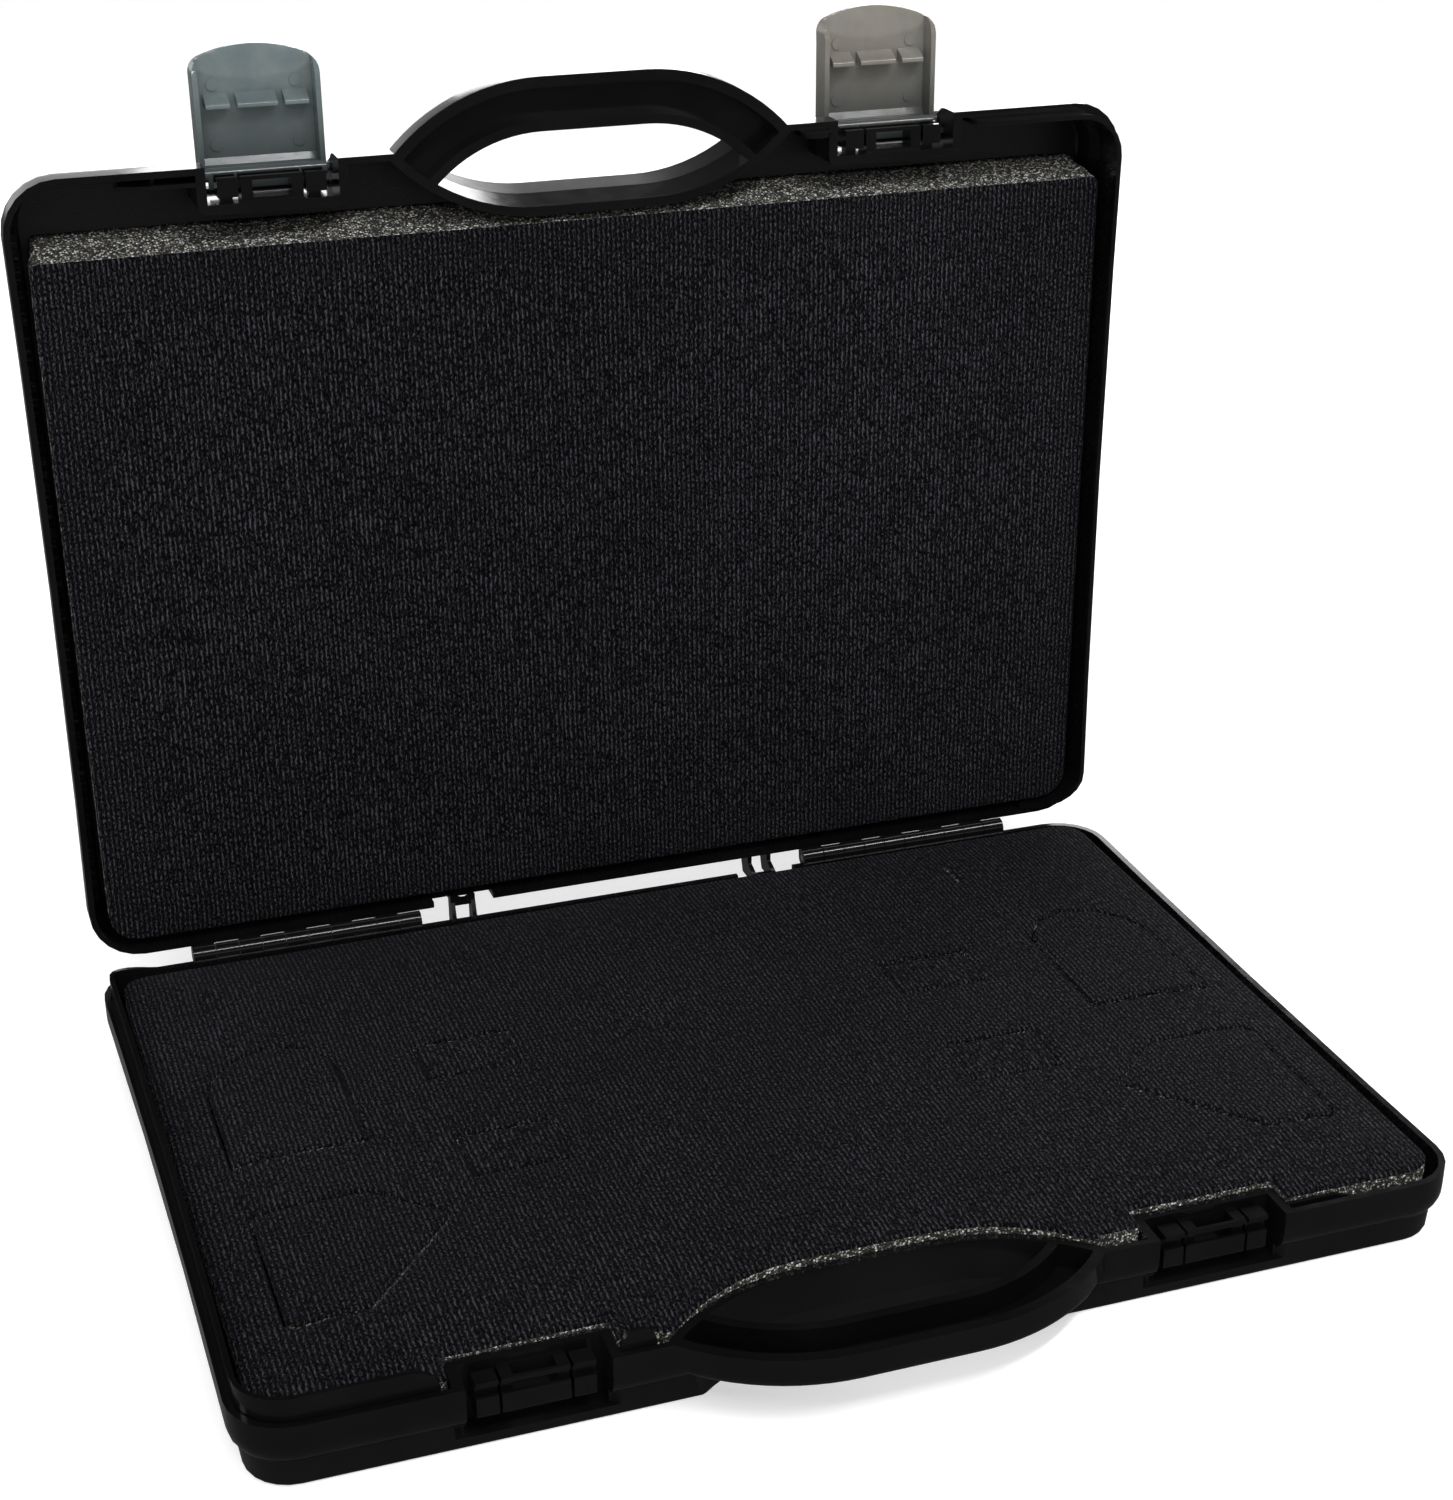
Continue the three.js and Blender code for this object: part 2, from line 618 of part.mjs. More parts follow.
// Open bracket behind the rear wall: two cheeks and a bar that carries the open lid.
function stopBracket() {
  const top = HINGE_Z + (HINGE_Y - REAR) - STOP_PLAY;
  const y0 = REAR - WALL + 0.6;
  const profile = [
    [y0, STOP_FOOT_Z], [STOP_REAR_Y, STOP_KNEE_Z], [STOP_REAR_Y, top],
    [STOP_TOP_Y, top], [STOP_WAIST_Y, STOP_SHOULDER_Z], [y0, STOP_SHOULDER_Z],
  ];
  const x = -STOP_X;
  const cheeks = [-STOP_HALF, STOP_HALF - STOP_CHEEK].map((dx) => (
    barAlongX(profile, x + dx, x + dx + STOP_CHEEK)
  ));
  const bar = box(x - STOP_HALF, x + STOP_HALF, STOP_BAR.y, STOP_REAR_Y, top - STOP_BAR.t, top);
  return union([...cheeks, bar]);
}

// Notch in the rear rim on the other side, with the pad that meets the bracket of the other shell.
function stopNotch() {
  const x = STOP_X;
  const z0 = SHELL_HEIGHT - NOTCH_DEPTH;
  const cut = box(x - NOTCH_HALF, x + NOTCH_HALF, REAR - 5, REAR + 2, z0, SHELL_HEIGHT + 1);
  const padTop = SHELL_HEIGHT - STOP_PAD_DROP;
  const pad = box(x - STOP_HALF, x + STOP_HALF, REAR - WALL, REAR, z0 - 0.5, padTop);
  const hole = new THREE.CylinderGeometry(STOP_HOLE_R, STOP_HOLE_R, 8, 24);
  hole.translate(x, REAR, SHELL_HEIGHT - STOP_HOLE_DROP);
  const window = toSolid(hole).subtract(box(x - 5, x + 5, REAR - 6, REAR + 6, z0 - 4, z0 + 1));
  return { cut, pad: pad.subtract(window) };
}

function shell(role) {
  const { outer, tray } = shellTray();
  const { body, channel } = handleHalf();
  const notch = stopNotch();
  let solid = tray.subtract(bayCut()).add(bayWall(outer));
  solid = solid.add(body).subtract(channel).add(handleMarks());
  [-LATCH_X, LATCH_X].forEach((x) => {
    solid = solid.add(recessFrame(x, outer)).subtract(recessCut(x, role)).add(keeper(x, role));
  });
  solid = union([solid, tongueRoot(), tongue(), guideRib(), locatingTab()]);
  solid = solid.subtract(notch.cut).add(notch.pad);
  solid = union([solid, knuckles(), stopBracket()]).subtract(pinHoles());
  if (role === "lid") {
    [-LATCH_X, LATCH_X].forEach((x) => {
      const reach = RECESS_HALF + BORE_REACH;
      const bore = cylinderX(STUB_R + RUNNING, x - reach, x + reach, PIVOT_Y, 2 * PARTING - PIVOT_Z, 20);
      solid = solid.subtract(bore);
    });
  }
  return solid;
}

// ---- latch --------------------------------------------------------------------------------------
// Front outline of the latch, tip at the bottom: a shallow arc with rounded corners.
function latchFace() {
  const r = TIP_CORNER_R;
  const x = LATCH_HALF - r;
  const y = TIP_ARC_R - Math.sqrt((TIP_ARC_R - r) ** 2 - x ** 2);
  const turn = Math.atan2(TIP_ARC_R - y, x);
  const corner = arcPoints(x, y, r, -turn, 0, 5);
  const tip = arcPoints(0, TIP_ARC_R, TIP_ARC_R, turn - Math.PI, -turn, 12).slice(1, -1);
  const wide = RECESS_HALF + STUB_REACH + 1;
  const top = 2 * LATCH_LENGTH;
  const above = LATCH_LENGTH - TIP_CORNER_R;
  const right = [...corner, [LATCH_HALF, above - 2], [wide, above - 2], [wide, top]];
  const left = right.map(([px, py]) => [-px, py]).reverse();
  return [...tip, ...right, ...left];
}

// Plate of the latch as slices across its width; u runs to the tip, w outwards.
function latchSlice(across) {
  const out = LATCH_OUT;
  const inner = LATCH_OUT - LATCH_T;
  const scoop = SCOOP_MIDDLE + (SCOOP_SIDE - SCOOP_MIDDLE) * (across / LATCH_HALF) ** 2;
  const root = [[0, 0], [1, 2], [2.2, inner - 1.4], [4.5, inner]];
  const flare = [0.25, 0.5, 0.75, 1].map((t) => {
    const u = scoop + (LATCH_LENGTH - scoop) * t;
    return [u, inner + (LIP_FLARE + LATCH_T - LIP_T) * t ** 1.6];
  });
  const back = [0.85, 0.6, 0.3, 0].map((t) => {
    const u = SCOOP_MIDDLE + (LATCH_LENGTH - SCOOP_MIDDLE) * t;
    return [u, out + LIP_FLARE * t ** 2];
  });
  const crest = [[0.6, out], [-1, out - 0.4], [-2.2, out - 1.6], [-2.2, 1.2]];
  return [...root, [scoop, inner], ...flare, [LATCH_LENGTH, out + LIP_FLARE], ...back, ...crest];
}

// Built closed: u runs down from the pivot to the tip, w runs forwards from the pivot.
function latch(cx) {
  const y = (w) => PIVOT_Y - w;
  const z = (u) => PIVOT_Z - u;
  const upright = (profile) => profile.map(([u, w]) => [y(w), z(u)]);
  const bar = (profile, x0, x1) => barAlongX(upright(profile), cx + x0, cx + x1);
  const inner = LATCH_OUT - LATCH_T;
  const half = LATCH_HALF;
  const stations = Array.from({ length: 13 }, (_, i) => half * (i / 6 - 1));
  const plate = loftAlongX(stations.map((x) => ({ ring: upright(latchSlice(x)), z: cx + x })));
  const tailW = -BARREL_R + 0.05;
  const tail = [[-TAIL_LENGTH, tailW], [0, tailW], [0, 0], [-2, -0.4], [-TAIL_LENGTH, -0.9]];
  const hook = [
    [HOOK_TOP, HOOK_TIP_W], [HOOK_TOP, inner + 0.3], [HOOK_TOP + HOOK_ROOT_T, inner + 0.3],
    [HOOK_TOP + HOOK_TIP_T + 0.5, HOOK_TIP_W + 1.2], [HOOK_TOP + HOOK_TIP_T - 0.2, HOOK_TIP_W + 0.3],
    [HOOK_TOP + 0.9, HOOK_TIP_W],
  ];
  const parts = [
    plate,
    bar(SIDE_PROFILE, -half, -half + LATCH_SIDE_T),
    bar(SIDE_PROFILE, half - LATCH_SIDE_T, half),
    bar(tail, -TAIL_HALF, TAIL_HALF),
    bar(hook, -HOOK_MIDDLE_HALF, HOOK_MIDDLE_HALF),
    bar(hook, -HOOK_SIDE[1], -HOOK_SIDE[0]),
    bar(hook, HOOK_SIDE[0], HOOK_SIDE[1]),
    cylinderX(BARREL_R, cx - half, cx + half, PIVOT_Y, PIVOT_Z),
    cylinderX(
      STUB_R, cx - RECESS_HALF - STUB_REACH, cx + RECESS_HALF + STUB_REACH, PIVOT_Y, PIVOT_Z, 20,
    ),
  ];
  EJECTORS.forEach(([across, u]) => {
    const disc = new THREE.CylinderGeometry(EJECTOR_R, EJECTOR_R, EJECTOR_T, 20);
    disc.translate(cx + across, y(inner), z(u));
    parts.push(toSolid(disc));
  });
  const face = new THREE.Shape(latchFace().map(([px, py]) => new THREE.Vector2(px, py)));
  const mask = new THREE.ExtrudeGeometry(face, { depth: 40, bevelEnabled: false });
  mask.rotateX(Math.PI / 2);
  mask.translate(cx, PIVOT_Y + 10, z(LATCH_LENGTH));
  return union(parts).intersect(toSolid(mask));
}

// ---- foam ---------------------------------------------------------------------------------------
function frontCutouts(gap) {
  const half = RECESS_HALF + RECESS_WALL + gap;
  const recesses = [-LATCH_X, LATCH_X].map((x) => (
    box(x - half, x + half, FRONT - 5, RECESS_BACK_Y + RECESS_WALL + gap, -1, SHELL_HEIGHT + 1)
  ));
  const bay = prism(bayArc(BAY_RIM_R + BAY_WALL + gap, FRONT - 6), -1, SHELL_HEIGHT + 1);
  const room = LOCATOR_ROOM;
  const near = [-room.x, room.x].map((x) => (
    box(x - room.half, x + room.half, FRONT - 5, FRONT + room.back, -1, SHELL_HEIGHT + 1)
  ));
  return union([...recesses, bay, ...near]);
}

const archPocket = (s) => {
  const arch = [[141, -8], [190, -8], [190, 44], [186, 54], [176, 63], [163, 67], [150, 62], [142, 50]];
  return arch.map(([x, y]) => [s * x, y]);
};
const anglePocket = (s) => (
  [[149, -40], [188, -40], [190, -44], [190, -104], [187, -107], [162, -107], [124, -63]]
    .map(([x, y]) => [s * x, y])
);
const smallPocket = (s, y0, y1) => [[76, y0], [112, y0], [112, y1], [76, y1]].map(([x, y]) => [s * x, y]);

const POCKETS = {
  plug_arch_left: archPocket(-1),
  plug_arch_right: archPocket(1),
  plug_angle_left: anglePocket(-1),
  plug_angle_right: anglePocket(1),
  plug_small_left_rear: smallPocket(-1, 25, 50),
  plug_small_right_rear: smallPocket(1, 25, 50),
  plug_small_left_front: smallPocket(-1, -43, -16),
  plug_small_right_front: smallPocket(1, -43, -16),
  plug_long_centre: [[-80, -104], [80, -104], [80, -67], [-80, -67]],
};

// Room for the lid's own bay wall, which narrows away from the parting plane.
function lidBayBlock() {
  const level = (r, z) => ({ ring: bayArc(r + BAY_WALL + FOAM_GAP, FRONT - 6), z });
  return loft([level(BAY_RIM_R, PARTING), level(BAY_FLOOR_R, 2 * PARTING)]);
}

function counterClockwise(ring) {
  return signedArea(ring) < 0 ? [...ring].reverse() : ring;
}

// Shrinks a convex outline towards its inside by a small gap.
function shrink(ring, gap) {
  const pts = counterClockwise(ring);
  const n = pts.length;
  const edges = pts.map((p, i) => {
    const q = pts[(i + 1) % n];
    const l = Math.hypot(q[0] - p[0], q[1] - p[1]);
    const nx = -(q[1] - p[1]) / l;
    const ny = (q[0] - p[0]) / l;
    return { nx, ny, d: nx * p[0] + ny * p[1] + gap };
  });
  return pts.map((_, i) => {
    const a = edges[(i + n - 1) % n];
    const b = edges[i];
    const det = a.nx * b.ny - a.ny * b.nx;
    return [(a.d * b.ny - b.d * a.ny) / det, (a.nx * b.d - b.nx * a.d) / det];
  });
}

// Foam block with its fabric facing; the pockets are cut through both and keep their plugs.
function baseLining() {
  const top = PARTING - LINING_RECESS;
  const split = top - FACING_T;
  const level = (trim, z) => {
    const hw = FOAM_HALF_W - trim;
    return { ring: roundedRect(-hw, hw, BASE_FOAM_FRONT + trim, FOAM_REAR - trim, FOAM_CORNER), z };
  };
  const cut = frontCutouts(FOAM_GAP);
  const block = loft([
    level(STEP_TRIM, FLOOR + 0.2),
    level(STEP_TRIM, STEP_TOP - 1),
    level(0, STEP_TOP + 1),
    level(0, split),
  ]);
  const sheet = prism(level(0, top).ring, split + 0.02, top);
  const wells = union(Object.values(POCKETS).map((ring) => prism(ring, top - POCKET_DEPTH, top + 1)));
  const plugs = Object.entries(POCKETS).map(([name, ring]) => {
    const cutRing = shrink(ring, CUT_GAP);
    return {
      name,
      foam: prism(cutRing, top - POCKET_DEPTH + 0.1, split),
      facing: prism(cutRing, split + 0.02, top),
    };
  });
  return { foam: block.subtract(cut).subtract(wells), facing: sheet.subtract(cut).subtract(wells), plugs };
}

// The lid's block ends behind the latches and the handle bay; its cut front side leans forward.
function lidLining() {
  const near = PARTING + LINING_RECESS;
  const split = near + FACING_T;
  const far = 2 * PARTING - FLOOR - 0.2;
  const lean = LID_FOAM_LEAN / (far - split);
  const level = (trim, z) => {
    const front = LID_FOAM_FRONT - lean * Math.max(0, z - split);
    const hw = FOAM_HALF_W - trim;
    return { ring: roundedRect(-hw, hw, front, FOAM_REAR - trim, LID_FOAM_CORNER, FOAM_CORNER), z };
  };
  const foam = loft([
    level(0, split + 0.02),
    level(0, 2 * PARTING - STEP_TOP - 1),
    level(STEP_TRIM, 2 * PARTING - STEP_TOP + 1),
    level(STEP_TRIM, far),
  ]);
  return { foam: foam.subtract(lidBayBlock()), facing: prism(level(0, near).ring, near, split) };
}

// ---- assembly -----------------------------------------------------------------------------------
// The lid is the base's moulding turned half a turn about the front-to-rear axis at the parting plane.
function turnOver(geometry) {
  const g = geometry.clone();
  g.translate(0, 0, -PARTING);
  g.rotateY(Math.PI);
  g.translate(0, 0, PARTING);
  return g;
}

function swingLid(geometry) {
  const g = geometry.clone();
  g.translate(0, -HINGE_Y, -HINGE_Z);
  g.rotateX(-LID_OPEN);
  g.translate(0, HINGE_Y, HINGE_Z);
  return g;
}

function swingLatch(geometry) {
  const g = geometry.clone();
  g.translate(0, -PIVOT_Y, -PIVOT_Z);
  g.rotateX(-Math.PI / 2);
  g.translate(0, PIVOT_Y, PIVOT_Z);
  return g;
}

function hingePin(side) {
  const length = KNUCKLE_COUNT * KNUCKLE_PITCH;
  const x0 = side < 0 ? -HINGE_START_X - length : HINGE_START_X;
  return toGeometry(cylinderX(PIN_R, x0 + 0.2, x0 + length - 0.2, HINGE_Y, HINGE_Z));
}

const BLACK = { color: 0x17171a, roughness: 0.55, metalness: 0 };
const GREY = { color: 0xb9bdbb, roughness: 0.35, metalness: 0 };
const STEEL = { color: 0x9a9ca0, roughness: 0.35, metalness: 1 };
const FOAM = { color: 0x2a2a2c, roughness: 1, metalness: 0 };
const FABRIC = { color: 0x232326, roughness: 0.95, metalness: 0 };

const group = new THREE.Group();
group.name = "attache_case";

function addPart(name, geometry, look) {
  const mesh = new THREE.Mesh(geometry, new THREE.MeshStandardMaterial(look));
  mesh.name = name;
  group.add(mesh);
}

const base = baseLining();
const lid = lidLining();

addPart("base_shell", toGeometry(shell("base")), BLACK);
addPart("lid_shell", swingLid(turnOver(toGeometry(shell("lid")))), BLACK);
addPart("hinge_pin_left", hingePin(-1), STEEL);
addPart("hinge_pin_right", hingePin(1), STEEL);
addPart("latch_left", swingLid(swingLatch(toGeometry(latch(-LATCH_X)))), GREY);
addPart("latch_right", swingLid(swingLatch(toGeometry(latch(LATCH_X)))), GREY);
addPart("base_foam", toGeometry(base.foam), FOAM);
addPart("base_facing", toGeometry(base.facing), FABRIC);
base.plugs.forEach(({ name, foam, facing }) => {
  addPart(`${name}_foam`, toGeometry(foam), FOAM);
  addPart(`${name}_facing`, toGeometry(facing), FABRIC);
});
addPart("lid_foam", swingLid(toGeometry(lid.foam)), FOAM);
addPart("lid_facing", swingLid(toGeometry(lid.facing)), FABRIC);

export default group;
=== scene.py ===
import math

import bpy
import numpy as np
from mathutils import Matrix, Vector, geometry, kdtree, noise


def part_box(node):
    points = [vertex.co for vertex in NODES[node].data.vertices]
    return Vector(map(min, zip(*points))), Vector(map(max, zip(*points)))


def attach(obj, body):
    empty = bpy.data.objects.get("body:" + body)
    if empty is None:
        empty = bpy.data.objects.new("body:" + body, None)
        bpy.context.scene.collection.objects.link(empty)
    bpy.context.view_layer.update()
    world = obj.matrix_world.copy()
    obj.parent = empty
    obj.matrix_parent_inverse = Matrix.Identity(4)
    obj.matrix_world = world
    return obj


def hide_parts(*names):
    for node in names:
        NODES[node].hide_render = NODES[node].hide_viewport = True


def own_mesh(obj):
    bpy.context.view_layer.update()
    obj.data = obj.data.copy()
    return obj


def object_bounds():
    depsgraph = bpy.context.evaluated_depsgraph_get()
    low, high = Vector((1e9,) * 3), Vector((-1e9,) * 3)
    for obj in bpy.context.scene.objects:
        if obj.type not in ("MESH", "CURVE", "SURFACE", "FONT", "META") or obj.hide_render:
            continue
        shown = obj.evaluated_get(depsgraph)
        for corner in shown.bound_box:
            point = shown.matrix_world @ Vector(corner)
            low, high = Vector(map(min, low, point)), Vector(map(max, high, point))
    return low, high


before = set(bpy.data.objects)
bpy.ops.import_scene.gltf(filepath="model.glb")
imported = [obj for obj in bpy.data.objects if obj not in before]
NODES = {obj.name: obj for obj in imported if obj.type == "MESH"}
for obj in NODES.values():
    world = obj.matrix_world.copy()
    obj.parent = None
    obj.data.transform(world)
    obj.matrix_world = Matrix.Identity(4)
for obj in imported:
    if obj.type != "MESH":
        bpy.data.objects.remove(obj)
CAD_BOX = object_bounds()
MM = 0.001

# ---- sizes of the lining ---------------------------------------------------------------------------
CLOTH_T = 1.0 * MM                  # fabric facing
CLOTH_OVER = 0.05 * MM              # the facing floats this far over its foam
GRID = 3.0 * MM                     # spacing of the points inside a facing
EDGE_STEP = 1.5 * MM                # spacing of the points along a cut edge
EDGE_ROLL = 1.7 * MM                # width of the rolled edge of a cut
EDGE_DROP = 0.7 * MM                # and how far the edge itself rolls down
RING_SHARES = (0.3, 0.7)            # rings of points that shape the roll, as shares of its width
RING_CLEAR = 0.22 * EDGE_ROLL       # a ring's points keep this far from every edge
INNER_CLEAR = 1.05 * EDGE_ROLL      # the grid inside keeps this far from them
FUZZ = 0.06 * MM                    # the pile's unevenness
FUZZ_SCALE = 900
FAINT_PLUG = "plug_long_centre"     # its cut has closed up again,
FAINT_SHARE = 0.12                  # so it takes this share of the drop
FAINT_REACH = 1.5 * EDGE_ROLL
RIB_PITCH = 1.9 * MM

BASE_LEFT_RISE = 0.8 * MM           # the base's lining stands this far over its CAD face at its left edge,
BASE_RIGHT_RISE = 2.2 * MM          # this far at its right edge
BASE_MID_RISE = 5.0 * MM            # and this far in the middle
BASE_CROWN_REACH = 42 * MM
BASE_WAVES = (0.3 * MM, 22, 4)      # size, noise scale and seed
EDGE_RISE_SPAN = (-0.9, 0.2)        # the edge rises between these shares of the half width
LID_SINK = -0.5 * MM                # the lid's lining dips inwards between its edges
LID_REACH = 30 * MM
LID_WAVES = (0.25 * MM, 18, 9)

FOAM_DEPTH = 22.6 * MM
PLUG_DEPTH = 14 * MM
FOAM_LEVELS = (0.5, 1.1, 1.9, 3, 4.5, 6.5, 9.5)  # rings down the foam's sides, mm under its top
DEEP_RINGS = 4                      # and this many from the step in the walls to the bottom
FOAM_UNDERCUT = 1.1 * MM            # the foam stands back this far under a cut edge
FOAM_CLEAR = 0.12 * MM              # and this far at its outer edge
FOAM_TRIM = 1.9 * MM                # the pads narrow this much below the step in the walls
STEP_DEPTH = 10 * MM
TRIM_FROM = 0.8 * STEP_DEPTH
TRIM_OVER = 0.4 * STEP_DEPTH
LID_LEAN = 5.5 * MM                 # the front side of the lid's foam leans this far
LEAN_SHARE = 0.03                   # the front side is this last share of the half height
TORN_CELLS = ((0.22 * MM, 1300, 0), (0.12 * MM, 400, 3))  # size, noise scale and seed shift of each layer
PLUG_LIFT = {                       # how far each kind of plug stands out of its cut
    "plug_arch": 0.45 * MM, "plug_angle": 0.4 * MM, "plug_small": -0.35 * MM, "plug_long": 0.05 * MM,
}
CUT_OPEN = {                        # how far each side of a plug's cut stands back from the CAD edge
    "plug_arch": 0.30 * MM, "plug_angle": 0.32 * MM, "plug_small": 0.22 * MM, "plug_long": 0.0,
}
SLIT_X = 135 * MM                   # a short slit in the base's facing
SLIT_Y = (104 * MM, 125 * MM)
SLIT_W = 0.7 * MM
SLIT_STEPS = 9

SAME_POINT = 1e-6                   # corners of a CAD face nearer than this are one,
SAME_HEIGHT = 1e-5                  # and ones this near its top belong to it
MERGE_GAP = 1e-7                    # the triangulation joins points nearer than this
SLIVER = 2e-9                       # a region of smaller triangles is only rounding beside an edge
SEED_STEP = (7.31, 3.17, 1.73)      # how far one seed moves the noise
FOAM_SEED_SHIFT = 11
FIRST_PLUG_SEED = 20

PLUGS = sorted(n[: -len("_facing")] for n in NODES if n.startswith("plug_") and n.endswith("_facing"))


# ---- small helpers ---------------------------------------------------------------------------------
def smooth(t):
    """Soft step from 0 to 1."""
    t = np.clip(t, 0, 1)
    return t * t * (3 - 2 * t)


def rgb(r, g, b):
    return (r, g, b, 1.0)


def add_object(name, points, faces, material, shade=True):
    mesh = bpy.data.meshes.new(name)
    mesh.from_pydata([tuple(p) for p in points], [], [tuple(f) for f in faces])
    mesh.validate()
    mesh.polygons.foreach_set("use_smooth", [shade] * len(mesh.polygons))
    mesh.materials.append(material)
    obj = bpy.data.objects.new(name, mesh)
    bpy.context.scene.collection.objects.link(obj)
    return obj


def wobble(points, scale, seed):
    """Smooth noise between about -1 and 1 at each point."""
    shift = Vector([seed * step for step in SEED_STEP])
    return np.array([noise.noise(Vector(p) * scale + shift) for p in points])


def span_of(loops):
    """Lowest and highest corner of a set of loops."""
    joined = np.concatenate(loops)
    return joined.min(0), joined.max(0)


# ---- outlines from the CAD faces -------------------------------------------------------------------
def outlines(node, up, across, along):
    """Loops round the flat face of a CAD node that faces up, as (across, along) points, and its height."""
    obj = NODES[node]
    co = np.array([obj.matrix_world @ v.co for v in obj.data.vertices])
    height = co @ up
    top = height.max()
    flat = np.stack([co @ across, co @ along], 1)
    keys = [tuple(k) for k in np.round(flat / SAME_POINT).astype(int)]
    place = {}
    edges = {}
    for poly in obj.data.polygons:
        corners = list(poly.vertices)
        if min(height[c] for c in corners) < top - SAME_HEIGHT:
            continue
        for a, b in zip(corners, corners[1:] + corners[:1]):
            ka, kb = keys[a], keys[b]
            place[ka] = flat[a]
            if (kb, ka) in edges:
                del edges[(kb, ka)]
            else:
                edges[(ka, kb)] = True
    step = {}
    for ka, kb in edges:
        step.setdefault(ka, []).append(kb)
    loops = []
    while step:
        start = next(iter(step))
        at, loop = start, []
        while at in step:
            loop.append(place[at])
            nexts = step[at]
            to = nexts.pop()
            if not nexts:
                del step[at]
            at = to
        loops.append(np.array(loop))
    return loops, top


def resample(loop, spacing):
    """The same outline with points about every spacing along it."""
    out = []
    for p, q in zip(loop, np.roll(loop, -1, 0)):
        n = max(1, int(round(np.linalg.norm(q - p) / spacing)))
        out += [p + (q - p) * i / n for i in range(n)]
    return np.array(out)


def area_of(loop):
    """Signed area, below zero for a hole."""
    x, y = loop[:, 0], loop[:, 1]
    return 0.5 * float(np.sum(x * np.roll(y, -1) - np.roll(x, -1) * y))


def inside(points, loops):
    """Even-odd test of many points against a set of loops."""
    hit = np.zeros(len(points), bool)
    x, y = points[:, 0], points[:, 1]
    for loop in loops:
        for (x0, y0), (x1, y1) in zip(loop, np.roll(loop, -1, 0)):
            if y0 == y1:
                continue
            cross = (y0 > y) != (y1 > y)
            hit ^= cross & (x < (x1 - x0) * (y - y0) / (y1 - y0) + x0)
    return hit


def offset(loop, distance):
    """Points moved to the left of the direction of travel, which is into the cloth."""
    ahead = np.roll(loop, -1, 0) - np.roll(loop, 1, 0)
    ahead /= np.maximum(np.linalg.norm(ahead, axis=1, keepdims=True), 1e-12)
    return loop + distance * np.stack([-ahead[:, 1], ahead[:, 0]], 1)


def fill(loops, extra):
    """Triangles between the loops, through the extra points inside them."""
    points = [p for loop in loops for p in loop]
    edges = []
    start = 0
    for loop in loops:
        n = len(loop)
        edges += [(start + i, start + (i + 1) % n) for i in range(n)]
        start += n
    points += list(extra)
    made = geometry.delaunay_2d_cdt([Vector(p) for p in points], edges, [], 0, MERGE_GAP)
    co = np.array([tuple(v) for v in made[0]])
    tris = np.array(made[2])
    origin = {o: new for new, old in enumerate(made[3]) for o in old}
    walls = {frozenset((origin[a], origin[b])) for a, b in edges}
    return co, tris[in_the_sheet(co, tris, walls, loops)], origin


def in_the_sheet(co, tris, walls, loops):
    """True for the triangles of each region between the walls whose largest triangle lies inside."""
    across = {}
    for i, tri in enumerate(tris):
        for a, b in zip(tri, np.roll(tri, -1)):
            side = frozenset((int(a), int(b)))
            if side not in walls:
                across.setdefault(side, []).append(i)
    region = np.arange(len(tris))

    def root(i):
        while region[i] != i:
            region[i] = region[region[i]]
            i = region[i]
        return i

    for pair in across.values():
        if len(pair) == 2:
            region[root(pair[0])] = root(pair[1])
    roots = np.array([root(i) for i in range(len(tris))])
    u, v = co[tris[:, 1]] - co[tris[:, 0]], co[tris[:, 2]] - co[tris[:, 0]]
    size = np.abs(u[:, 0] * v[:, 1] - u[:, 1] * v[:, 0])
    keep = np.zeros(len(tris), bool)
    for r in np.unique(roots):
        members = np.flatnonzero(roots == r)
        largest = members[np.argmax(size[members])]
        real = size[largest] > SLIVER
        keep[members] = real and inside(co[tris[largest]].mean(0)[None], loops)[0]
    return keep


def inner_points(loops, spacing, clear):
    """A staggered grid inside the loops that keeps clear of them."""
    lo, hi = span_of(loops)
    nx, ny = (int((hi[i] - lo[i]) / spacing) for i in (0, 1))
    grid = np.array([
        (lo[0] + (i + 0.5 + 0.5 * (j % 2)) * spacing, lo[1] + (j + 0.5) * spacing)
        for i in range(nx) for j in range(ny)
    ])
    grid = grid[inside(grid, loops)]
    return grid[edge_distance(grid, loops) > clear]


def edge_distance(points, loops):
    """Distance from each point to the nearest point of the loops."""
    rims = np.concatenate(loops)
    tree = kdtree.KDTree(len(rims))
    for i, p in enumerate(rims):
        tree.insert((p[0], p[1], 0), i)
    tree.balance()
    return np.array([tree.find((p[0], p[1], 0))[2] for p in points])


def box_gap(co, lo, hi):
    """How far inside a rectangle each point lies, below zero outside it."""
    return np.minimum.reduce([co[:, 0] - lo[0], hi[0] - co[:, 0], co[:, 1] - lo[1], hi[1] - co[:, 1]])


# ---- lining pieces ---------------------------------------------------------------------------------
class Panel:
    """A flat side of the lining: where it faces, and how its surface swells."""

    def __init__(self, up, across, along, rise):
        self.up, self.across, self.along = (np.array(a, float) for a in (up, across, along))
        self.rise = rise

    def place(self, flat, height):
        flat = np.asarray(flat)
        return flat[:, :1] * self.across + flat[:, 1:] * self.along + np.asarray(height)[:, None] * self.up


def by_kind(table, plug):
    """The value for the kind of plug that a name begins with."""
    return next(value for kind, value in table.items() if plug.startswith(kind))


